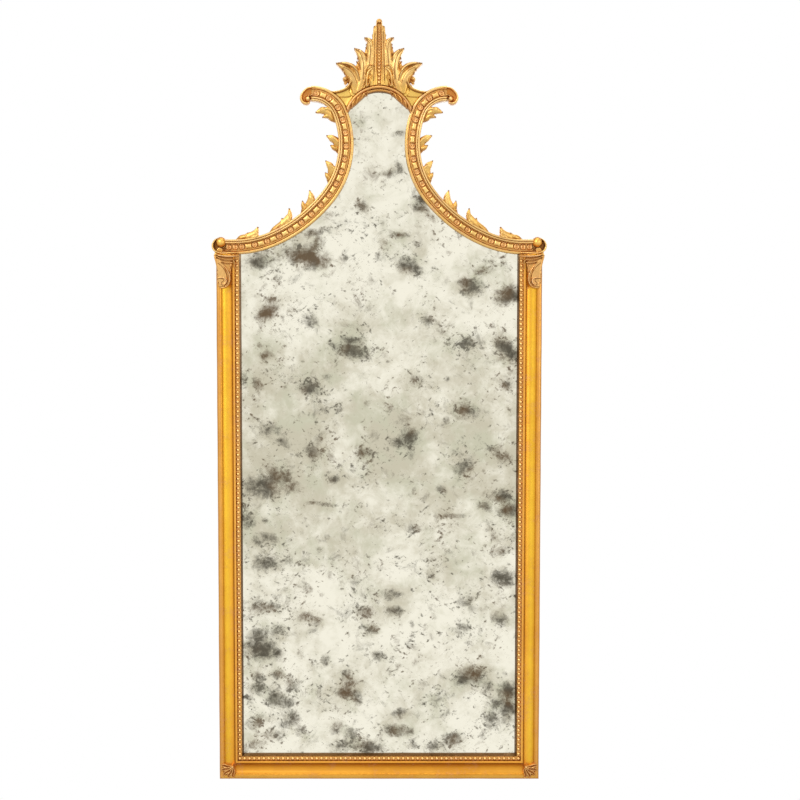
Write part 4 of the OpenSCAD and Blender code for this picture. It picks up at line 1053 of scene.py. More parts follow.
def crest_shapes(crown):
    """Right half of the crest: leaves with hooked tips, reeds, inner scrolls and the lip along the scroll."""
    def leaf(points, half, top, low=0, section=leaf_section(1, 0.14, 0.06), n=40):
        return stroke(placed(0, crown, *points), half, low, top, section, n)

    broad = leaf_section(1, 0.12, 0.04, 0.4)
    return [
        leaf([(40, -14), (47, 8), (49, 20)], [12, 9, 4], [25, 28.4, 28], section=broad),
        leaf([(46, -6), (51, 12), (59, 25), (71, 35.5), (83.5, 42)], [11, 12.2, 10.6, 6.6, 1.6],
             [27, 30, 31, 31, 28], section=broad),
        leaf([(37, 4), (43, 24), (53, 37.4), (67, 42.6), (84.2, 43)], [5, 6, 5.2, 3.8, 1.4],
             [27, 31.5, 33, 32, 29]),
        leaf([(60, 18), (66, 26.4), (71.6, 30.2)], [4.6, 4.0, 1.4], [27, 29, 27]),
        leaf([(57, 8), (63, 18.4), (68.6, 22.8)], [4.6, 4.0, 1.4], [26, 28, 26]),
        leaf([(36, -5), (32, 20), (31.4, 42), (36, 57), (48, 71.2)], [10, 10.8, 10.4, 8.0, 1.7],
             [28, 30.5, 32, 32, 28], section=broad),
        leaf([(26, 40), (30.4, 58), (38.6, 67), (48.4, 71.4)], [4.0, 5.0, 4.2, 1.4], [28, 33, 33, 29]),
        leaf([(35, 42), (39, 50), (42.8, 52.8)], [4, 3.4, 1.3], [27, 29, 27]),
        leaf([(35, 33), (40, 43), (44.4, 46.4)], [4, 3.6, 1.3], [26, 28, 26]),
        leaf([(22, 20), (19, 50), (18, 74), (20.6, 85), (28, 92)], [9, 9, 8, 6, 1.6], [28, 30.5, 32, 32, 28],
             section=broad),
        leaf([(14.6, 66), (15.2, 82), (19.6, 89.2), (28.3, 92.6)], [3.2, 4.2, 3.8, 1.4], [28, 32.5, 33, 29]),
        leaf([(19.4, 70), (22, 77), (25.4, 80)], [3.4, 3.0, 1.2], [27, 29, 27]),
        leaf([(20, 60), (23, 70.6), (26.4, 73.8)], [3.4, 3.2, 1.2], [26, 28.5, 27]),
        leaf([(20, 48), (22.8, 57.4), (25.4, 60.4)], [3.4, 3.0, 1.2], [26, 28.5, 27]),
        leaf([(11.4, 80), (11.4, 91), (13.2, 97.4)], [3.0, 3.0, 1.3], [27, 29, 27]),
        leaf([(9.6, 92), (9.0, 104), (8.0, 109.4), (10, 114)], [2.6, 2.8, 2.4, 1.2], [26, 29, 29, 27]),
        leaf([(9.4, 0), (8.0, 20), (6.6, 66), (5.6, 96), (4.8, 122)], [5.0, 3.4, 2.9, 2.6, 1.7],
             [30, 31, 31.5, 31.5, 31], 12, round_section),
        leaf([(16.4, 4), (14.4, 30), (12.8, 60), (11.4, 92)], [4.4, 3.8, 3.2, 1.8], [28.5, 29.5, 30, 28.5],
             10, round_section),
        leaf([(11.2, 37), (18, 39.4), (24.4, 34.4), (28, 24), (29, 10), (33, -5)],
             [1.3, 2.4, 2.6, 2.5, 2.4, 2.4],
             [33, 36, 36.5, 36, 35, 31], 10, round_section, 50),
        leaf([(25.4, 1), (24.4, 14), (21.4, 26), (15, 32)], [3, 3.8, 4, 2.2], [30, 33, 34, 32], 10),
        leaf([(17.6, 22), (14.8, 18.4), (17.6, 10.4), (22, -1)], [1.2, 2.0, 2.2, 2.4], [32, 34.5, 34, 31], 10,
             round_section),
        leaf([(63, 19), (57.8, 15.4), (56.4, 8), (61, -1.6), (68, -7.6), (78, -11.4), (88, -13.2), (99, -13),
              (109, -9.6)],
             [1.6, 3.0, 3.6, 4.2, 4.3, 4.1, 3.7, 3.1, 1.4], [29, 31, 31.5, 31, 30, 29, 28, 27, 24], 0,
             round_section, 70),
        leaf([(63, 12), (67, 5)], [4, 3], [21, 21], section=flat_section()),
        leaf([(62, -14), (78, -17), (96, -17.6)], [9, 6, 3.4], [20.5, 20.5, 20.5], section=flat_section()),
        boss(67.4, crown + 12.4, 5.6, 12, 33),
        leaf([(0, -2), (0, 60), (0, 124)], [20, 13, 6], [22, 22.5, 23.5], section=flat_section()),
        leaf([(11, -2), (10, 60), (7.6, 112)], [8.6, 6.8, 3.8], [28, 28.6, 28.6], section=flat_section()),
        leaf([(22, -4), (22, 30), (17, 84)], [17, 14, 6], [24.5, 25.5, 25.5], section=flat_section()),
        leaf([(44, -8), (40, 20), (34, 48)], [16, 14, 6], [23, 24, 24.5], section=flat_section()),
        boss(0, crown + 123, 5.6, 0, 31),
    ]


def spandrel(arch):
    """Smooth hollow field between the arch's rim and the scrolls."""
    line = arc(arch.centre, arch.r + 11, 8, 172, 30)
    return stroke(line, 14, 0, [19, 20, 21, 20, 19], lambda q, t: 1 - 0.10 * (1 - q * q), 60)


def sprig_shapes(path, s, tip, second, root, base):
    """One sprig on the outer edge of a head rail, in the sprig's own straight frame."""
    rim = path.half
    (tx, tz), (sx, sz), (rx, rz), (bx, bz) = tip, second, root, base
    section = leaf_section(1, 0.16, 0.08)

    def frond(points, *rest):
        return stroke(path.place(s, np.array(points)), *rest)

    return [
        frond([(rx * 0.82, rz - 5), (rx * 0.45, (rz + rim) / 2 + 1), (tx + 8.5, rim + (tz - rim) * 0.42),
               (tx + 0.6, tz - 1)], [5, 8.4, 7.2, 1.6], [6, 7, 8, 13], [22, 27, 30, 27],
              leaf_section(1, 0.14, 0.06, 0.4)),
        frond([(rx + 1, rz - 3.5), (sx + (rx - sx) * 0.55, rz - 1), (sx + 6, rim + (sz - rim) * 0.55),
               (sx + 0.5, sz - 0.8)], [4, 6.4, 5, 1.4], [6, 7, 8, 12], [20, 25, 27, 25], section),
        frond([(rx * 0.55, rim - 4), (tx + 15, rim + 1.5), (bx + 2, bz + 4),
               (tx + 5, rim + (tz - rim) * 0.55)],
              [3.4, 4.8, 4.2, 1.2], [6, 8, 10, 14], [24, 28.5, 31, 30.5], section),
        frond([(rx * 0.7, rim - 5), (sx, rim - 4), (bx, rim - 5)], [4, 5, 4], 6, 22, flat_section())]


# Sprigs: place along the head rail, then the tip, the second tip, the root and the base in the sprig's own
# frame. Most points were picked by eye in the photograph and turned into millimetres by a scratch script.
SPRIGS = (
    (59, (0, 32.5), (23, 27.5), (46, 22.7), (5, 12)),
    (143, (0, 36.6), (23, 29.6), (60, 21.6), (14, 14.7)),
    (205, (0, 35.7), (25, 32.9), (44, 19.5), (6.5, 15.7)),
    (289, (0, 36.4), (22.8, 31.2), (38.5, 21.4), (7.8, 13.1)),
    (353, (0.3, 37.8), (20, 32.4), (34, 21.2), (6.8, 17.7)),
    (421, (-10, 39.0), (6, 36.6), (30, 26), (0, 14)),
)


def placed(x, z, *points):
    return [(x + a, z + b) for a, b in points]


def volute_shapes(f):
    """Shoulder volute: a lip that runs out of the rail's glass side and curls up round the ball."""
    x, z = f["width"] / 2, f["stile_height"]
    lip = placed(x, z, (-50, 5), (-38, 3.6), (-24, 3.0), (-11, 2.4), (-0.4, 5.4), (6.0, 11.6), (7.4, 20),
                 (2.6, 28.6), (-6, 34))
    return [
        boss(x - 8, z + 18, 15.2, 0.6, 18.5, flat_section(0.1)),
        stroke(placed(x, z, (-6, 8), (-2.0, 3.4), (0.2, 0.0)), [6, 5.2, 4.4], 0.6, [24, 25, 26],
               flat_section(0.1)),
        stroke(placed(x, z, (-30, 12), (-18, 13)), [10.5, 12.5], 0.6, 21, flat_section(0.1)),
        stroke(lip, [1.6, 2.6, 3.0, 3.0, 2.9, 2.7, 2.5, 2.1, 1.0], [0.6, 12, 18, 20, 20, 20, 20, 18, 10],
               [23, 26, 28, 29, 29.5, 29.5, 29, 28, 25], round_section, 60),
        stroke(lip[3:], [2.6, 2.4, 2.2, 2.0, 1.6, 0.8], 0.6, [21, 22, 22, 22, 20, 14], flat_section(0.1), 50),
        stroke(placed(x, z, (-40, 8.6), (-26, 8.2), (-13, 9.4), (-4, 13)), [0.9, 1.2, 1.3, 0.9], 10,
               [22.5, 24, 25, 23], round_section),
        stroke(placed(x, z, (-26, 18), (-19, 13.4), (-10, 13.8)), [1.2, 1.6, 1.1], 10, [24, 26, 24],
               round_section),
        stroke(placed(x, z, (-27, 23), (-21, 20), (-19, 14)), [1.2, 1.6, 1.1], 10, [24, 26.5, 24],
               round_section),
    ]


def scroll_shapes(path):
    """Rolled end of the top scroll: the rim turns under to a round lobe with a ball in its hollow."""
    x, z = path.point(path.length)
    rim = placed(x, z, (-17, 13.5), (-5, 12.0), (3, 6.5), (8.6, -1.7), (9.2, -9.1), (5.8, -15.4),
                 (-0.5, -18.1), (-6.6, -16))
    return [
        stroke(placed(x, z, (-14, 1.2), (-3, -0.5), (0.8, -6.8)), [13.4, 12, 10.6], 0.6, [20, 20.5, 21],
               flat_section(0.12)),
        stroke(rim, [1.8, 2.2, 2.4, 2.5, 2.7, 3.0, 3.0, 2.0], 18, [28, 28.5, 29, 29, 29, 29, 28, 25],
               round_section, 60),
        stroke(rim, [1.6, 2.0, 2.2, 2.3, 2.5, 2.8, 2.8, 1.8], 0.6, 21, flat_section(0.1), 60),
        boss(x - 3.8, z - 9.1, 6.2, 17, 30),
        stroke(placed(x, z, (-18, -3.4), (-11, -1.8), (-5.5, -3.4)), [1.6, 2.2, 1.8], 10, [26, 28, 26],
               round_section),
        stroke(placed(x, z, (-20, -11.6), (-13, -10.2), (-8.5, -11.6)), [2.0, 2.2, 1.6], 0.6, [27.5, 28, 26],
               round_section),
    ]


# Painted shade lines along the gouges on the shoulder leaf.
SHOULDER_SHADE_LINES = (
    [(-4, -17), (-12, -23.4), (-17.4, -31), (-21.4, -40), (-23, -50), (-21, -58), (-15, -63), (-7, -64)],
    [(-2, -49), (-8, -47.6), (-14.4, -48.6), (-14, -53), (-10.6, -56.4), (-12.6, -61)],
    [(2, -28), (-3.4, -31.6)], [(2, -37), (-3, -39)],
    [(-44, -6), (-28, -6.6), (-14, -6), (-5, -3.6), (3, -0.6)],
    [(-31, -12.8), (-22, -12.6), (-11, -10.6), (0, -6.6)],
    [(-28, -19), (-20, -18.6), (-11, -16.4)])


def shoulder_shapes(f):
    """Leaf under the shoulder: fingers at its top, a ridged fall and a curled lobe at its foot."""
    x, z = f["width"] / 2, f["stile_height"]
    leaf, ground = leaf_section(1, 0.16, 0.06), 22

    def ridge(points, half, top, section=round_section, n=40):
        return stroke(placed(x, z, *points), half, ground, top, section, n)

    return [
        ridge([(-17, -5), (-17, -20), (-15.5, -36), (-15, -51)], [16.5, 15, 12.5, 12], [37, 37.4, 37.6, 37.4],
              flat_section(0.2)),
        stroke(placed(x, z, (2.4, 2), (1.2, -6), (-0.9, -14), (-2.5, -23), (-3.2, -32)),
               [2.9, 2.9, 2.7, 2.3, 1.3], 6, [36, 37.4, 38, 38, 36],
               flat_section(0.3)),
        ridge([(-45, -3.0), (-32, -3.6), (-20, -3.4), (-8, -2), (2, 1)], [1.6, 2.4, 2.6, 2.6, 2.4],
              [41, 42, 42, 42, 40]),
        ridge([(-36, -26), (-36, -15), (-33.2, -10.4), (-25.5, -9.6), (-17, -8.8), (-7, -6.4), (1.2, -2.6)],
              [1.8, 2.1, 2.4, 2.5, 2.5, 2.5, 2.0],
              [38, 39, 40, 40, 40, 39.6, 37], n=60),
        ridge([(-31, -16), (-22, -16), (-13, -13.6), (-4, -9.6)], [2.4, 2.8, 3.0, 1.8], [40, 40, 40, 39]),
        boss(x - 30, z - 16.2, 3.5, ground, 41.4),
        ridge([(-27.6, -22), (-28.2, -29), (-28.0, -39)], [2.0, 2.3, 1.4], [39, 40, 39]),
        ridge([(-6, -12.6), (-14.6, -20.0), (-21, -28), (-25.4, -36.6), (-27.2, -47), (-25.4, -57),
               (-20.6, -63), (-13.6, -65.4), (-5, -63)],
              [1.8, 2.2, 2.4, 2.5, 2.6, 2.8, 2.8, 2.6, 1.6], [39.6, 41, 41.4, 41.4, 41.4, 41, 40.6, 40, 38],
              n=60),
        ridge([(-6, -14), (-9.6, -26), (-12.4, -40), (-12.6, -52), (-11.6, -60)], [5.4, 8.6, 10.8, 11, 7],
              [39, 39.6, 39.6, 39.4, 39],
              section=flat_section(0.5)),
        ridge([(-5, -46.6), (-12.6, -45.6), (-19, -48.4), (-20.4, -54), (-16.4, -58.8), (-10.4, -58.6),
               (-8.4, -54)],
              [2.0, 2.6, 2.8, 2.9, 2.9, 2.6, 1.6], [39.6, 41.4, 42, 42, 41.6, 41, 39.4], n=50),
        boss(x - 13.6, z - 52.4, 3.4, ground, 40.4),
        ridge([(-4.4, -51), (-3.4, -56), (-6, -60)], [1.8, 2.0, 1.2], [38.6, 39.4, 38]),
    ]


def corner_shapes(f):
    """Corner leaf: a fan of lobes from a bud on the mitre."""
    x, z = f["width"] / 2 - 27, 27.0
    shapes = [boss(x + 1, z - 1, 5.2, 22, 41.5)]
    for i, a in enumerate((-4, 20, 45, 70, 94)):
        r = 27 - 3 * abs(a - 45) / 45
        line = [(x + r * q * math.cos(math.radians(a + b)), z - r * q * math.sin(math.radians(a + b)))
                for q, b in ((0.1, 0), (0.4, 5), (0.75, -5), (1, 2))]
        shapes.append(stroke(line, [2.6, 4.6, 4.8, 1.8], 22, [38, 39 + (i % 2), 40, 37],
                             leaf_section(2, 0.26, 0.1)))
    return shapes


# ---- repeated ornament, placed with Geometry Nodes ----

def row_tree():
    """Puts an item at each point of a row, with its own size and turn, and makes one mesh of them."""
    n, into, out = new_group(
        "ornament_row", "GeometryNodeTree",
        {"Geometry": ("Row",), "Object": ("Item",), "Float": ("Unevenness",), "Int": ("Seed",),
         "Material": ("Finish",)},
        {"Geometry": ("Piece",)})
    size, turn = (n.made("GeometryNodeInputNamedAttribute", {"Name": label}, "Attribute", data_type="FLOAT")
                  for label in ("size", "turn"))
    chance = n.made("FunctionNodeRandomValue", {"Min": -1, "Seed": into["Seed"]}, 1)
    placing = {"Points": n.made("GeometryNodeMeshToPoints", {"Mesh": into["Row"]}),
               "Instance": n.made("GeometryNodeObjectInfo", {"Object": into["Item"]}, "Geometry"),
               "Rotation": n.made("ShaderNodeCombineXYZ", {"Y": turn}),
               "Scale": size * (chance * into["Unevenness"] + 1.0)}
    placed_items = n.made("GeometryNodeInstanceOnPoints", placing)
    one_mesh = n.made("GeometryNodeRealizeInstances", {"Geometry": placed_items})
    n.put(out.inputs["Piece"], n.made("GeometryNodeSetMaterial",
                                      {"Geometry": one_mesh, "Material": into["Finish"]}))
    return n.tree


def row_of(name, spots, turns, scales, item, seed):
    """A plain mesh of the items along a row; spots in millimetres."""
    mesh = bpy.data.meshes.new(name + "_row")
    mesh.from_pydata([tuple(np.array(p) * MM) for p in spots], [], [])
    set_mask(mesh, "size", scales)
    set_mask(mesh, "turn", turns)
    holder = bpy.data.objects.new(name + "_row", mesh)
    bpy.context.scene.collection.objects.link(holder)
    modifier = holder.modifiers.new("row", "NODES")
    modifier.node_group = bpy.data.node_groups.get("ornament_row") or row_tree()
    values = {"Item": item, "Unevenness": 0.03, "Seed": seed, "Finish": finish_named("carving_gilt")}
    for socket in modifier.node_group.interface.items_tree:
        if socket.in_out == "INPUT" and socket.name in values:
            modifier[socket.identifier] = values[socket.name]
    bpy.context.view_layer.update()
    made = bpy.data.meshes.new_from_object(holder.evaluated_get(bpy.context.evaluated_depsgraph_get()))
    bpy.data.objects.remove(holder)
    return made


def item_object(name, shape, masks):
    """An item to repeat, drawn about its own centre and kept out of the view."""
    mesh = make_mesh(name, *shape)
    for key, values in masks.items():
        set_mask(mesh, key, values)
    mesh.shade_smooth()
    return bpy.data.objects.new(name, mesh)


def pearl_item(sides=10, rings=4):
    """A pearl of one millimetre radius that stands on the plane y = 0, with painted shade at its foot and a
    painted highlight on top.
    """
    ring, side = np.meshgrid(np.arange(1, rings + 1), np.arange(sides), indexing="ij")
    a, b = np.radians(100 * ring / rings), 2 * math.pi * side / sides
    around = np.stack([np.sin(a) * np.cos(b), -np.cos(a), np.sin(a) * np.sin(b)], -1).reshape(-1, 3)
    points = np.vstack([(0, -1, 0), around, (0, 0.25, 0)])
    hollow = np.concatenate([[0], np.clip((ring.ravel() / rings - 0.55) * 1.9, 0, None), [1]])
    after = (side + 1) % sides
    here, there = 1 + (ring - 1) * sides + side, 1 + (ring - 1) * sides + after
    quads = np.stack([here, there, there + sides, here + sides], -1)[:-1].reshape(-1, 4)
    tris = np.vstack([np.stack([0 * here[0], there[0], here[0]], -1),
                      np.stack([0 * here[0] + len(points) - 1, here[-1], there[-1]], -1)])
    shape = outward(points, [tris, quads])
    masks = {"hollow": hollow * 0.5, "proud": np.where(points[:, 1] < -0.9, 0.6, 0.0),
             "tint": by_depth(shape, PEARL_TINTS_AND_SHADING)}
    return item_object("pearl", shape, masks)


def plot(name, height, width, run, step, tint):
    """An item from a height given over its run and width: x along the row, z across it, colours by height
    with painted shade low and painted highlight high.
    """
    nx, nz = int(run / step) + 1, int(width / step) + 1
    x, z = np.meshgrid(np.linspace(-run / 2, run / 2, nx), np.linspace(-width / 2, width / 2, nz),
                       indexing="ij")
    points = np.vstack([np.stack([x, -h, z], -1).reshape(-1, 3) for h in (height(x, z), np.zeros_like(x))])
    n = nx * nz
    spot = np.arange(n).reshape(nx, nz)
    i = spot[:-1, :-1].ravel()
    quads = np.stack([i, i + nz, i + nz + 1, i + 1], 1)
    rim = np.concatenate([spot[0], spot[1:, -1], spot[-1, -2::-1], spot[-2:0:-1, 0]])
    after = np.roll(rim, -1)
    walls = np.stack([rim, after, after + n, rim + n], 1)
    shape = outward(points, [np.vstack([quads, quads[:, ::-1] + n, walls])])
    hollow, proud = relief_masks(*shape, 3, 12)
    return item_object(name, shape,
                       {"hollow": hollow * 0.6, "proud": proud * 0.6, "tint": by_depth(shape, tint)})


def band_items():
    """The two items of the band on a head rail: a smooth waisted pad and a round cell with a bar in it."""
    def pad(x, z):
        u, w = x / 6.7, z / 6.6
        waist = 1 - 0.3 * (1 - u * u)
        dome = np.clip(1 - (np.abs(w) / waist) ** 2.4, 0, 1) ** 0.5 * np.clip(1 - np.abs(u) ** 4, 0, 1) ** 0.5
        return 0.2 + 4.1 * dome

    def cell(x, z):
        u, w = x / 6.2, z / 6.2
        r = np.hypot(u, w)
        oval = np.clip(1 - r ** 5, 0, 1) ** 0.5
        ring = np.exp(-((r - 0.72) / 0.2) ** 2)
        bar = np.exp(-(w / 0.24) ** 2) * np.clip(1 - (u / 0.6) ** 4, 0, 1)
        return 0.2 + oval * (0.9 + 2.4 * ring + 1.9 * bar)

    # Painted shade low on the pads and cells, painted highlight on their tops.
    pad_tints_and_shading = ((0, (190, 138, 72)), (1.2, (212, 160, 86)), (2.8, (232, 186, 108)), (4.3, (242, 204, 126)))
    cell_tints_and_shading = ((0, (176, 122, 62)), (0.9, (192, 138, 76)), (2.0, (220, 168, 104)), (4.0, (236, 190, 128)))
    return plot("pad", pad, 13.2, 13.4, 0.62, pad_tints_and_shading), plot("cell", cell, 12.6, 11.8, 0.5, cell_tints_and_shading)


# ---- plate ----

def sight_half(f, path, arch, grow):
    """Right half of the glass opening grown outwards, from the bottom to the crown."""
    x = f["width"] / 2 - f["rail_width"] + grow
    radius = arch.glass_r + grow
    centre = arch.glass_centre
    edge = [path.point(s, grow - path.half) for s in np.linspace(0, sum(path.lengths[:3]), 150)]
    kept = [p for p in edge if p[0] < x - 0.5 and (p[1] < path.neck_z or math.hypot(*(p - centre)) < radius)]
    rise = path.radii[0] + path.half - grow
    corner = f["stile_height"] + grow + rise - math.sqrt(rise ** 2 - max(0, path.start[0] - x) ** 2)
    last = kept[-1] - centre
    first = math.degrees(math.atan2(last[1], last[0]))
    return np.vstack([[(x, f["rail_width"] - grow), (x, corner)], kept,
                      arc(centre, radius, first - 1.5, 90, 24)])


PLATE_SPOTS = (
    # The dark patches that show most, from the top down: across, up, half length, half width,
    # tilt in degrees and strength. They were found by eye in enlarged crops of the photograph and
    # turned into millimetres by a scratch script, and its list was then rounded and cut down.
    (40, 1300, 10, 5, 0, 0.8), (40, 1235, 10, 6, -70, 0.9), (25, 1225, 15, 6, 20, 0.8),
    (85, 1170, 9, 6, -20, 1.1),
    (-35, 1160, 9, 7, -30, 1.1), (80, 1155, 10, 7, 0, 1.1), (100, 1140, 14, 5, -50, 0.6),
    (-130, 1105, 20, 5, 10, 0.8),
    (40, 1100, 16, 5, 0, 0.8), (-125, 1080, 12, 8, 60, 1.0), (-170, 1070, 18, 6, 0, 0.8),
    (-150, 1060, 26, 13, -5, 1.2),
    (-130, 1050, 20, 12, 10, 1.1), (-70, 1055, 9, 7, 0, 0.7), (-240, 1050, 18, 12, 10, 0.9),
    (55, 1040, 13, 11, 0, 1.1),
    (75, 1030, 9, 7, -70, 1.0), (205, 1030, 11, 6, 0, 0.8), (-205, 1015, 10, 6, 40, 0.6),
    (185, 1000, 18, 12, -15, 0.9),
    (180, 990, 10, 8, 0, 1.0), (260, 980, 20, 12, 10, 1.2), (-215, 970, 9, 7, 0, 0.8),
    (-225, 945, 15, 9, 35, 1.3),
    (-140, 930, 12, 10, -30, 0.8), (100, 930, 12, 5, -10, 0.9), (-55, 890, 16, 7, 0, 0.9),
    (175, 885, 15, 8, 10, 0.9),
    (255, 875, 18, 9, -50, 1.3), (-55, 870, 20, 10, -10, 1.1), (-230, 860, 8, 7, 0, 0.9),
    (75, 810, 10, 8, 0, 0.8),
    (-245, 805, 10, 7, -45, 0.8), (-140, 795, 16, 10, 0, 0.9), (255, 800, 8, 7, 0, 1.0),
    (175, 750, 18, 10, -10, 0.9),
    (-220, 710, 16, 10, 0, 0.7), (60, 695, 14, 12, 60, 1.1), (40, 685, 12, 8, 0, 0.9),
    (-195, 685, 10, 6, -20, 0.8),
    (235, 670, 12, 7, -20, 0.7), (-135, 665, 14, 8, -30, 0.8), (-30, 665, 12, 9, -20, 0.8),
    (250, 655, 15, 8, -10, 0.8),
    (170, 635, 14, 9, 15, 0.9), (-205, 615, 18, 13, 10, 1.1), (-90, 610, 8, 5, 10, 1.1),
    (-235, 595, 24, 14, -10, 1.1),
    (-180, 595, 14, 9, 0, 0.8), (125, 590, 8, 5, -20, 1.0), (250, 575, 15, 10, 0, 0.9),
    (-115, 560, 26, 3, -5, 0.8),
    (215, 555, 12, 7, -10, 0.8), (260, 550, 14, 11, 5, 1.1), (150, 535, 26, 3, 0, 0.7),
    (-265, 525, 11, 10, -50, 0.9),
    (70, 510, 9, 7, 0, 0.8), (-220, 490, 14, 7, -25, 0.8), (-245, 485, 9, 8, 0, 0.8),
    (245, 465, 12, 7, 10, 0.7),
    (-230, 440, 20, 12, 0, 0.9), (250, 410, 16, 13, 0, 1.1), (-150, 390, 13, 9, -30, 0.6),
    (25, 375, 16, 8, 0, 0.8),
    (175, 360, 13, 8, 10, 0.7), (-240, 350, 17, 10, 0, 0.8), (-215, 350, 9, 7, 0, 1.0),
    (-25, 340, 12, 8, 0, 0.8),
    (30, 340, 14, 9, -5, 0.8), (-150, 330, 11, 7, 15, 0.7), (245, 325, 12, 9, -25, 1.0),
    (-130, 320, 9, 7, 0, 0.8),
    (-15, 305, 12, 8, -10, 0.7), (170, 305, 12, 8, 0, 0.8), (-205, 300, 12, 8, 0, 0.8),
    (-245, 285, 17, 14, 60, 1.0),
    (-240, 265, 22, 15, -10, 1.2), (-210, 255, 10, 8, 0, 1.0), (0, 250, 10, 8, 0, 0.8),
    (-110, 240, 8, 7, 60, 0.8),
    (190, 210, 18, 12, -10, 1.1), (-205, 210, 9, 7, 10, 0.9), (-65, 205, 13, 8, 90, 0.7),
    (-245, 205, 9, 7, -20, 0.9),
    (170, 200, 13, 9, 10, 1.0), (-60, 190, 13, 7, 15, 0.8), (-180, 190, 13, 8, 75, 0.8),
    (220, 185, 10, 8, 80, 0.9),
    (-240, 180, 15, 9, 0, 0.8), (-65, 175, 15, 10, -5, 1.1), (260, 175, 15, 13, 90, 1.1),
    (-215, 165, 13, 9, 50, 1.0),
    (-50, 165, 13, 9, -55, 0.8), (-200, 155, 18, 9, -10, 1.0), (240, 150, 10, 8, 0, 0.9),
    (260, 145, 17, 12, 90, 1.1),
    (40, 130, 12, 7, 15, 0.9), (-180, 125, 14, 10, -20, 0.8), (230, 120, 12, 10, -40, 0.9),
    (-245, 115, 12, 8, 20, 0.8),
    (-185, 110, 14, 9, 20, 0.8), (-85, 100, 13, 9, 10, 0.8), (30, 95, 16, 9, -5, 1.0),
    (-160, 95, 11, 8, -20, 0.7),
    (55, 95, 10, 8, -20, 0.9), (-55, 85, 14, 9, -30, 0.8), (-215, 85, 13, 7, 0, 0.8),
    (150, 75, 17, 10, 10, 0.9),
    (-75, 65, 20, 7, 0, 0.7), (-255, 65, 13, 8, 10, 0.8), (-20, 60, 20, 9, -5, 1.0),
    (115, 65, 13, 8, 20, 0.8),
)


def filled(outline, inner):
    """Points and triangles that fill an outline, through the points inside it."""
    n = len(outline)
    flat = [Vector((float(a), float(b))) for a, b in np.vstack([outline, inner])]
    verts, _, tris, *_ = delaunay_2d_cdt(flat, [(i, (i + 1) % n) for i in range(n)], [], 1, 1e-6)
    p, tris = np.array([v[:] for v in verts]), np.array(tris)
    a, b, c = p[tris[:, 0]], p[tris[:, 1]], p[tris[:, 2]]
    signed = (b[:, 0] - a[:, 0]) * (c[:, 1] - a[:, 1]) - (b[:, 1] - a[:, 1]) * (c[:, 0] - a[:, 0])
    tris[signed < 0] = tris[signed < 0][:, ::-1]
    return p, tris


def plate(f, path, arch, seed, step=4.0):
    """Points and faces of the plate, and its spot and veil masks."""
    half = sight_half(f, path, arch, 7.0)
    outline = np.vstack([half, (half * [-1, 1])[::-1]])
    outline = resample(np.vstack([outline, outline[:1]]), 5.0)[:-1]
    gx, gz = np.meshgrid(np.arange(-280, 281, step),
                         np.arange(outline[:, 1].min() + 3, outline[:, 1].max(), step), indexing="ij")
    grid = np.stack([gx.ravel(), gz.ravel()], 1)
    keep = np.zeros(len(grid), bool)
    nearest = np.full(len(grid), FAR)
    for (x0, z0), (x1, z1) in zip(outline, np.roll(outline, -1, axis=0)):
        crosses = (z0 > grid[:, 1]) != (z1 > grid[:, 1])
        if z0 != z1:
            keep ^= crosses & (grid[:, 0] < (x1 - x0) * (grid[:, 1] - z0) / (z1 - z0) + x0)
        nearest = np.minimum(nearest, np.hypot(grid[:, 0] - x0, grid[:, 1] - z0))
    p, tris = filled(outline, grid[keep & (nearest > step * 0.6)])
    q, under = filled(outline, outline[:0])
    n, m = len(outline), len(p)
    ring = np.arange(n)
    walls = np.stack([(ring + 1) % n, ring, ring + m, (ring + 1) % n + m], 1)
    points = np.vstack([np.insert(p, 1, -LEDGE, axis=1), np.insert(q, 1, 4 - LEDGE, axis=1)])
    faces = [np.vstack([tris, under[:, ::-1] + m]), walls]
    rng = np.random.default_rng(seed)
    spots = [*PLATE_SPOTS]
    for _ in range(110):
        r = rng.uniform(3, 8)
        spots.append((rng.uniform(-270, 270), rng.uniform(55, 1150), r, r * rng.uniform(0.5, 1),
                      rng.uniform(-90, 90), rng.uniform(0.3, 0.65)))
    at = np.insert(p, 1, 0, axis=1)
    x, z = p[:, 0] + 1.6 * noise(at, 22, seed + 1), p[:, 1] + 1.6 * noise(at, 22, seed + 2)
    cloud = np.zeros(m)
    for cx, cz, long, short, tilt, strength in spots:
        c, s = math.cos(math.radians(tilt)), math.sin(math.radians(tilt))
        u, v = c * (x - cx) + s * (z - cz), c * (z - cz) - s * (x - cx)
        cloud = np.maximum(cloud, 1.12 * strength * np.exp(-0.38 * (u / long) ** 2 - 0.38 * (v / short) ** 2))
    veil = 0.35 + 0.25 * noise(at, 190, seed) + 0.45 * np.exp(-((z - 630) / 150) ** 2)
    veil = veil + 0.2 * np.exp(-((z - 810) / 120) ** 2) + 0.5 * spread(cloud, edges_of([tris]), 12)
    masks = {name: np.concatenate([np.clip(v, 0, 1.4), np.zeros(n)])
             for name, v in (("foxing", cloud), ("veil", veil))}
    return outward(points, faces), masks


# ---- operators ----

class Plan:
    """Everything that the operators build from, read from the panel's sizes."""

    def __init__(self, context):
        scene = context.scene
        self.f, self.h, self.c = sizes(scene.pier_frame), sizes(scene.pier_head), sizes(scene.pier_crest)
        self.path = HeadPath(self.f, self.h)
        self.arch = Arch(self.h, self.c, self.path)
        self.sight = self.f["width"] / 2 - self.f["rail_width"]
        first, pitch = self.h["band_start"], self.h["pad_pitch"]
        count = int((self.path.length - 16 - first) / pitch)
        self.pads = [first + k * pitch for k in range(1, count + 1)]
        self.cells = [first] + [first + (k + 0.5) * pitch for k in range(-1, count + 1)]


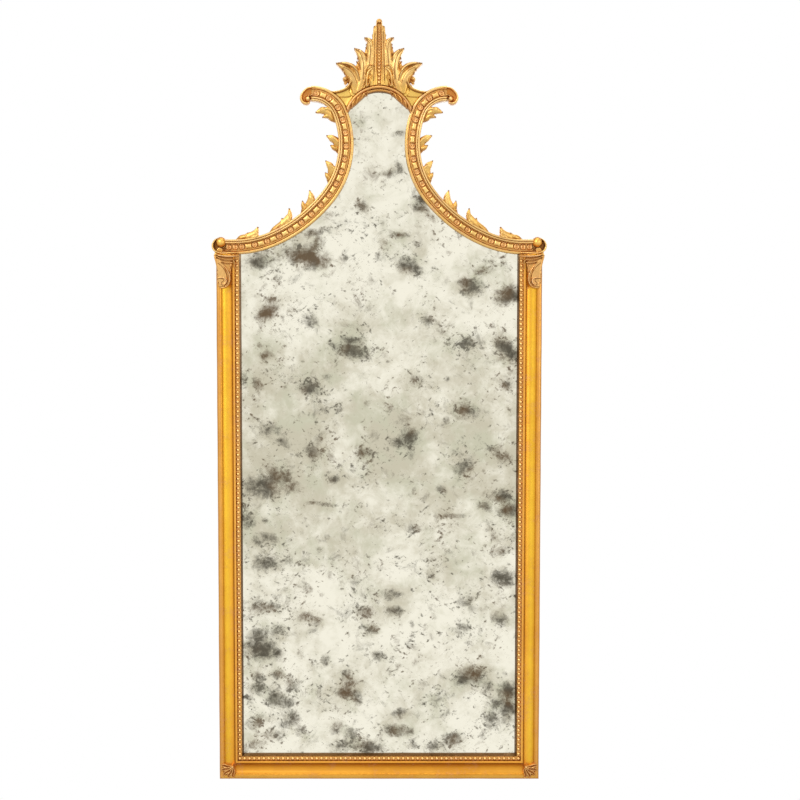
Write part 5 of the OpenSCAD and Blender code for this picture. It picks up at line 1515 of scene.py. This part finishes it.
def masks_of(shape, fine=14, broad=60, tint=None, relief=0.3, rub=0.3):
    """The masks that a gilded piece's finish reads: hollows, which take painted shade, proud places, which
    take painted highlight and wear, and the colours with shading painted on it.
    """
    hollow, proud = relief_masks(*shape, fine, broad)
    return {"hollow": hollow * relief, "proud": proud * rub, "tint": tint}


def tipped(masks, points, tips, radius=3.0, strength=0.95):
    """Adds painted shade at places of a carving, on both sides."""
    for x, z in tips:
        away = np.hypot(np.abs(points[:, 0]) - x, points[:, 2] - z) / radius
        masks["hollow"] = np.maximum(masks["hollow"], strength * np.exp(-away ** 4))
    return masks


def both(name, shape, slot, node, masks, sharp=None):
    """The same piece on both sides."""
    for side, drawn in (("left", mirrored(*shape)), ("right", shape)):
        finish_piece(f"{side}_{name}", drawn, slot, [f"{side}_{node}"], masks, sharp)


def merged(*shapes):
    """Several closed surfaces as one set of points and faces."""
    tris, quads, start = [], [], 0
    for points, faces in shapes:
        for f in faces:
            (tris if f.shape[1] == 3 else quads).append(f + start)
        start += len(points)
    return np.vstack([points for points, _ in shapes]), [np.vstack(g) for g in (tris, quads) if g]


class PIER_OT_stage(bpy.types.Operator):
    """Camera, soft lights, white surroundings and a pale floor"""
    bl_idname = "pier.stage"
    bl_label = "Stage"

    def execute(self, context):
        scene = context.scene
        scene.view_settings.view_transform = "Standard"
        camera = bpy.data.objects.new("photo_camera", bpy.data.cameras.new("photo_camera"))
        camera.data.lens, camera.data.sensor_width, camera.data.shift_x = CAMERA_LENS, 36, CAMERA_SHIFT
        camera.location = CAMERA_SPOT
        camera.rotation_euler = (math.pi / 2 - CAMERA_TILT, 0, 0)
        camera.data.clip_start, camera.data.clip_end = 0.05, 60
        scene.collection.objects.link(camera)
        scene.camera = camera
        for name, spot, aim, width, height, power in LAMPS:
            data = bpy.data.lights.new(name, "AREA")
            data.shape, data.size, data.size_y, data.energy = "RECTANGLE", width, height, power
            lamp = bpy.data.objects.new(name, data)
            lamp.location = spot
            lamp.rotation_euler = (Vector(aim) - Vector(spot)).to_track_quat("-Z", "Y").to_euler()
            lamp.visible_glossy = name != "low_light"
            scene.collection.objects.link(lamp)
        scene.world = bpy.data.worlds.new("white_surroundings")
        scene.world.use_nodes = True
        n = Nodes(scene.world.node_tree)
        background = next(node for node in n.tree.nodes if node.type == "BACKGROUND")
        rays = n.values(n.add("ShaderNodeLightPath"))
        seen = rays["Is Camera Ray"] | rays["Is Glossy Ray"] | rays["Is Transmission Ray"]
        n.put(background.inputs["Color"], (1, 1, 1, 1))
        n.put(background.inputs["Strength"], n.blend(seen, WORLD_LIGHT, 1.0))
        left, front, right, back = FLOOR
        corners = [(left, front), (right, front), (right, back), (left, back)]
        floor = make_mesh("floor", [(x, y, FLOOR_HEIGHT) for x, y in corners], [[[0, 1, 2, 3]]])
        floor.materials.append(Finish("pale_floor").surface((0.86, 0.86, 0.85, 1), 0.85))
        plane = bpy.data.objects.new("floor", floor)
        scene.collection.objects.link(plane)
        return {"FINISHED"}


class PIER_OT_mouldings(bpy.types.Operator):
    """Stiles and bottom rail: sight bevel, pearl seat, fillet, cove and outer hump"""
    bl_idname = "pier.mouldings"
    bl_label = "Stiles and bottom rail"

    def execute(self, context):
        plan = Plan(context)
        stile, low = rails(plan.f, plan.path)
        # Profile colours with painted light and shade.
        tints_and_shading = (painted(stile[0][:, 0] - plan.sight, STILE_TINTS_AND_SHADING),
                 painted(plan.f["rail_width"] - low[0][:, 2], RAIL_TINTS_AND_SHADING))
        stile, low = uneven(stile, 0.16, 70, 11), uneven(low, 0.16, 70, 12)
        both("stile_moulding", stile, "gilt_frame", "stile", masks_of(stile, tint=tints_and_shading[0]), SHARP)
        finish_piece("bottom_rail_moulding", low, "gilt_frame", ["bottom_rail"], masks_of(low, tint=tints_and_shading[1]),
                     SHARP)
        return {"FINISHED"}


class PIER_OT_head(bpy.types.Operator):
    """Head rails with their shoulder volutes, balls and rolled scroll ends"""
    bl_idname = "pier.head"
    bl_label = "Head rails"

    def execute(self, context):
        plan = Plan(context)
        rail, tint = head_rail(plan.path, plan.h["depth"], plan.pads)
        rail = uneven(rail, 0.15, 60, 21)
        volute = carve(volute_shapes(plan.f), SCROLL_STEP)
        end = carve(scroll_shapes(plan.path), SCROLL_STEP)
        parts = [masks_of(rail, 14, 60, tint, 1, 1),
                 masks_of(volute, 8, 30, by_depth(volute, VOLUTE_TINTS_AND_SHADING), 1, 1),
                 masks_of(end, 8, 30, by_depth(end, END_TINTS_AND_SHADING), 1, 1)]
        masks = {key: np.concatenate([part[key] for part in parts]) for key in parts[0]}
        both("head_rail_moulding", merged(rail, volute, end), "gilt_frame", "head_rail", masks, SHARP)
        x, z = plan.f["width"] / 2 - BALL_IN, plan.f["stile_height"] + BALL_UP
        ball = carve([boss(x, z, 10.6, 22, 34), boss(x, z, 10.2, 10, 25, flat_section(0.1))], 0.55)
        # Painted highlight in the ball's middle and painted shade at its rim.
        tint = painted(np.hypot(ball[0][:, 0] - x, ball[0][:, 2] - z), BALL_HIGHLIGHT_AND_SHADE)
        both("shoulder_ball_gilt", ball, "gilt_carving", "shoulder_ball", masks_of(ball, 8, 24, tint))
        return {"FINISHED"}


class PIER_OT_band(bpy.types.Operator):
    """Pads and round cells that alternate in the channel of the head rails"""
    bl_idname = "pier.band"
    bl_label = "Head rail band"

    def execute(self, context):
        plan = Plan(context)
        path = plan.path
        low, last = plan.h["depth"] - CHANNEL, path.length - 16.5
        high = low + STRIP_THICK
        section = [(-STRIP_HALF, low), (-STRIP_HALF, high), (STRIP_HALF, high), (STRIP_HALF, low)]
        stations = np.arange(-14.0, last, 3.0)
        strip = tube(swept(path, stations, [section] * len(stations)), np.array([[3, 2, 1, 0]]))
        pad, cell = band_items()
        for side, sign, base in (("left", -1, mirrored(*strip)), ("right", 1, strip)):
            rows = []
            for item, at, seed in ((pad, plan.pads, 5), (cell, plan.cells, 6)):
                at = [s for s in at if s < last - 4]
                spots = [(sign * path.point(s)[0], 0.1 - high, path.point(s)[1]) for s in at]
                turns = [sign * math.radians(180 - path.heading_at(s)) for s in at]
                rows.append(row_of(f"{side}_{item.name}s", spots, turns, [1.0] * len(at), item, seed))
            joined_piece(f"{side}_head_band", f"{side}_head_enrichment", base, rows)
        return {"FINISHED"}


def mesh_arrays(mesh):
    """Points in millimetres, faces and masks of a mesh made of triangles and quads."""
    def read(items, field, kind=float, wide=1):
        values = np.zeros(len(items) * wide, kind)
        items.foreach_get(field, values)
        return values.reshape(-1, wide) if wide > 1 else values

    counts, starts = (read(mesh.polygons, field, int) for field in ("loop_total", "loop_start"))
    corners = read(mesh.loops, "vertex_index", int)
    faces = [corners[starts[counts == k][:, None] + np.arange(k)] for k in (3, 4) if (counts == k).any()]
    masks = {key: read(mesh.attributes[key].data, field, wide=wide)
             for key, field, wide in (("hollow", "value", 1), ("proud", "value", 1), ("tint", "vector", 3))}
    return (read(mesh.vertices, "co", wide=3) / MM, faces), masks


def joined_piece(name, node, base, rows):
    """One piece of carving from a plain base and the rows that stand on it."""
    n = len(base[0])
    shapes = [base]
    # The base strip: plain gold with a little painted shade.
    parts = [{"hollow": np.full(n, 0.2), "proud": np.zeros(n), "tint": np.tile(shown(225, 172, 98), (n, 1))}]
    for mesh in rows:
        shape, masks = mesh_arrays(mesh)
        shapes.append(shape)
        parts.append(masks)
        bpy.data.meshes.remove(mesh)
    masks = {key: np.concatenate([part[key] for part in parts]) for key in parts[0]}
    finish_piece(name, merged(*shapes), "gilt_carving", [node], masks, SHARP)


def block(x0, x1, d0, d1, z0, z1):
    points = np.array([(x, -d, z) for x in (x0, x1) for d in (d0, d1) for z in (z0, z1)], float)
    faces = [[0, 1, 3, 2], [4, 6, 7, 5], [0, 4, 5, 1], [2, 3, 7, 6], [0, 2, 6, 4], [1, 5, 7, 3]]
    return outward(points, [np.array(faces)])


class PIER_OT_pearls(bpy.types.Operator):
    """Strings of pearls on the stiles and the bottom rail, and the graded string up the crest"""
    bl_idname = "pier.pearls"
    bl_label = "Pearls"

    def execute(self, context):
        plan = Plan(context)
        f, c = plan.f, plan.c
        pearl = pearl_item()

        def string(name, node, spots, radii, base, seed):
            row = row_of(name, spots, [0.0] * len(spots), radii, pearl, seed)
            joined_piece(name, node, base, [row])

        radius, pitch = f["pearl_radius"], f["pearl_pitch"]
        inside = BEVEL + radius + 0.6
        line, top = plan.sight + inside, f["rail_depth"] - PEARL_SEAT + STRIP_THICK
        foot = f["rail_width"] - inside + pitch / 2
        run = f["stile_height"] - foot - 0.1
        count = int(run / pitch)
        for side, x in (("left", -line), ("right", line)):
            spots = [(x, -top, foot + (k + 0.5) * pitch) for k in range(count)]
            base = block(x - radius + 0.6, x + radius + 0.4, top - STRIP_THICK, top, foot, foot + run)
            string(f"{side}_pearl_row", f"{side}_pearl_string", spots, [radius] * count, base, 31)
        count = round(2 * line / pitch)
        z, half = f["rail_width"] - inside, radius - 0.2
        spots = [((k - count / 2) * 2 * line / count, -top, z) for k in range(count + 1)]
        base = block(-line - half, line + half, top - STRIP_THICK, top, z - half, z + half)
        string("bottom_pearl_row", "bottom_pearl_string", spots, [radius] * len(spots), base, 32)
        low, high, run = c["pearl_radius"], c["pearl_tip_radius"], c["height"] - 16
        spots, radii, z = [], [], 0.0
        while z <= run:
            radii.append(low + (high - low) * z / run)
            spots.append((0, -CREST_PEARLS, plan.arch.crown + 2 + z + radii[-1]))
            z += 2 * radii[-1] + 0.5
        z = plan.arch.crown + 1
        points, faces = block(-1, 1, CREST_PEARLS - 4, CREST_PEARLS, z, z + run + 1)
        points[:, 0] *= np.where(points[:, 2] < z + 1, low + 1, high + 1)
        string("crest_pearl_row", "crest_pearls", spots, radii, (points, faces), 33)
        return {"FINISHED"}


class PIER_OT_crest(bpy.types.Operator):
    """Arch band, its small leaves, and the leaf crest above"""
    bl_idname = "pier.crest"
    bl_label = "Arch and crest"

    def execute(self, context):
        plan = Plan(context)
        path, arch = plan.path, plan.arch

        def rails_only(x, z):
            return path.cover(np.abs(x), z)

        def rails_and_arch(x, z):
            return np.maximum(0.05 - arch.outside(x, z), rails_only(x, z))

        half = crest_shapes(arch.crown)
        crest = carve([*half, *map(both_sides, half), spandrel(arch)], CREST_STEP, rails_and_arch)
        points = crest[0]
        tint = by_depth(crest, CREST_TINTS_AND_SHADING)
        # Pale gold laid over the painted depth shade on the low field and round the middle reeds.
        up = points[:, 2] - arch.crown
        field = np.clip((5 - up) / 9, 0, 1) * np.clip((29 + points[:, 1]) / 4, 0, 1)
        heart = 0.8 * np.exp(-((np.abs(points[:, 0]) - 11) / 9) ** 2 - ((up - 8) / 16) ** 2)
        tint += np.maximum(field, heart)[:, None] * (np.array(shown(236, 196, 102)) - tint)
        masks = tipped(masks_of(crest, 7, 24, tint, 0.65), points, placed(0, arch.crown, *CREST_SHADE_SPOTS))
        for line in CREST_SHADE_LINES:
            masks = tipped(masks, points, curve(placed(0, arch.crown, *line)), *GOUGE_SHADE_LINE)
        finish_piece("crest_carving", crest, "gilt_carving", ["crest_panel", "crest_leaves"], masks)
        band = carve([arch.band()], 0.7, rails_only)
        tint = painted(arch.outside(band[0][:, 0], band[0][:, 2]), ARCH_TINTS_AND_SHADING)
        finish_piece("arch_band", band, "gilt_frame", ["crest_arch"], masks_of(band, 8, 26, tint))
        leaves = carve(arch.leaves(), FINE_STEP)
        masks = masks_of(leaves, 8, 22, by_depth(leaves, ARCH_LEAF_TINTS_AND_SHADING))
        both("arch_leaves", leaves, "gilt_carving", "arch_leaf", masks)
        return {"FINISHED"}


class PIER_OT_carving(bpy.types.Operator):
    """Sprigs along the head rails, leaves under the shoulders and corner fans"""
    bl_idname = "pier.carving"
    bl_label = "Sprigs, shoulder and corner leaves"

    def execute(self, context):
        plan = Plan(context)
        path, x, z = plan.path, plan.f["width"] / 2, plan.f["stile_height"]
        for i, (s, tip, second, *rest) in enumerate(SPRIGS, 1):
            centre, radius = path.centres[path.spot(s)[0]], path.radii[path.spot(s)[0]]
            sprig = carve(sprig_shapes(path, s, tip, second, *rest), LEAF_STEP,
                          lambda x, z: 13.0 - (radius - np.hypot(x - centre[0], z - centre[1])))
            masks = masks_of(sprig, 12, 36, by_depth(sprig, SPRIG_TINTS_AND_SHADING), 0.5)
            # Painted shade at the sprig's two tips.
            masks = tipped(masks, sprig[0], path.place(s, placed(0, -1, tip, second)), 2.6)
            both(f"sprig_carving_{i}", sprig, "gilt_carving", f"sprig_{i}", masks)
        leaf = carve(shoulder_shapes(plan.f), FINE_STEP, lambda _, up: up - z + 0.6)
        masks = masks_of(leaf, 12, 34, by_depth(leaf, LEAF_TINTS_AND_SHADING), 0.5)
        for line in SHOULDER_SHADE_LINES:
            masks = tipped(masks, leaf[0], curve(placed(x, z, *line)), *GOUGE_SHADE_LINE)
        both("shoulder_carving", leaf, "gilt_carving", "shoulder_leaf", masks)
        fan = carve(corner_shapes(plan.f), LEAF_STEP)
        both("corner_carving", fan, "gilt_carving", "corner_leaf",
             masks_of(fan, 8, 26, by_depth(fan, LEAF_TINTS_AND_SHADING)))
        return {"FINISHED"}


class PIER_OT_plate(bpy.types.Operator):
    """The old silvered plate with its foxing"""
    bl_idname = "pier.plate"
    bl_label = "Plate"

    def execute(self, context):
        plan = Plan(context)
        shape, masks = plate(plan.f, plan.path, plan.arch, context.scene.pier_finishes.plate_seed)
        finish_piece("silvered_plate", shape, "mirror_plate", ["mirror_plate"], masks, 30)
        return {"FINISHED"}


class PIER_OT_back(bpy.types.Operator):
    """Finishes of the back board, packing, joinery, screws and hangers, whose shapes are as built"""
    bl_idname = "pier.back"
    bl_label = "Back and hangers"

    def execute(self, context):
        hangers = [f"{side}_{part}" for side in ("left", "right") for part in ("strap_hanger", "ring")]
        finishes = {"back_pine": ["back_board"], "packing_felt": ["plate_packing"],
                    "bare_beech": ["setting_blocks", "stile_dowels", "crest_dowels", "mitre_splines"],
                    "screw_brass": ["back_board_screws"], "hanger_steel": ["hanger_screws", *hangers]}
        for finish, nodes in finishes.items():
            for node in nodes:
                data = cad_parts[node].data
                data.materials.clear()
                data.materials.append(finish_named(finish))
        return {"FINISHED"}


OPERATORS = (PIER_OT_stage, PIER_OT_mouldings, PIER_OT_head, PIER_OT_band, PIER_OT_pearls, PIER_OT_crest,
             PIER_OT_carving,
             PIER_OT_plate, PIER_OT_back)


class PIER_PT_panel(bpy.types.Panel):
    """Sizes, finishes and pieces of the pier mirror"""
    bl_label = "Pier mirror"
    bl_idname = "PIER_PT_panel"
    bl_space_type = "VIEW_3D"
    bl_region_type = "UI"
    bl_category = "Pier mirror"

    def draw(self, context):
        for group in ("pier_frame", "pier_head", "pier_crest", "pier_finishes"):
            owner = getattr(context.scene, group)
            for prop in type(owner).__annotations__:
                self.layout.prop(owner, prop)
        for operator in OPERATORS:
            self.layout.operator(operator.bl_idname)


GROUPS = {"pier_frame": FrameSizes, "pier_head": HeadSizes, "pier_crest": CrestSizes,
          "pier_finishes": Finishes}


def register():
    for cls in (*GROUPS.values(), *OPERATORS, PIER_PT_panel):
        bpy.utils.register_class(cls)
    for name, group in GROUPS.items():
        setattr(bpy.types.Scene, name, PointerProperty(type=group))


def unregister():
    for name in GROUPS:
        delattr(bpy.types.Scene, name)
    for cls in (PIER_PT_panel, *reversed(OPERATORS), *GROUPS.values()):
        bpy.utils.unregister_class(cls)


def main():
    register()
    for operator in OPERATORS:
        _, name = operator.bl_idname.split(".")
        if getattr(bpy.ops.pier, name)() != {"FINISHED"}:
            raise RuntimeError(f"{operator.bl_label} was not built")


if __name__ == "__main__":
    main()
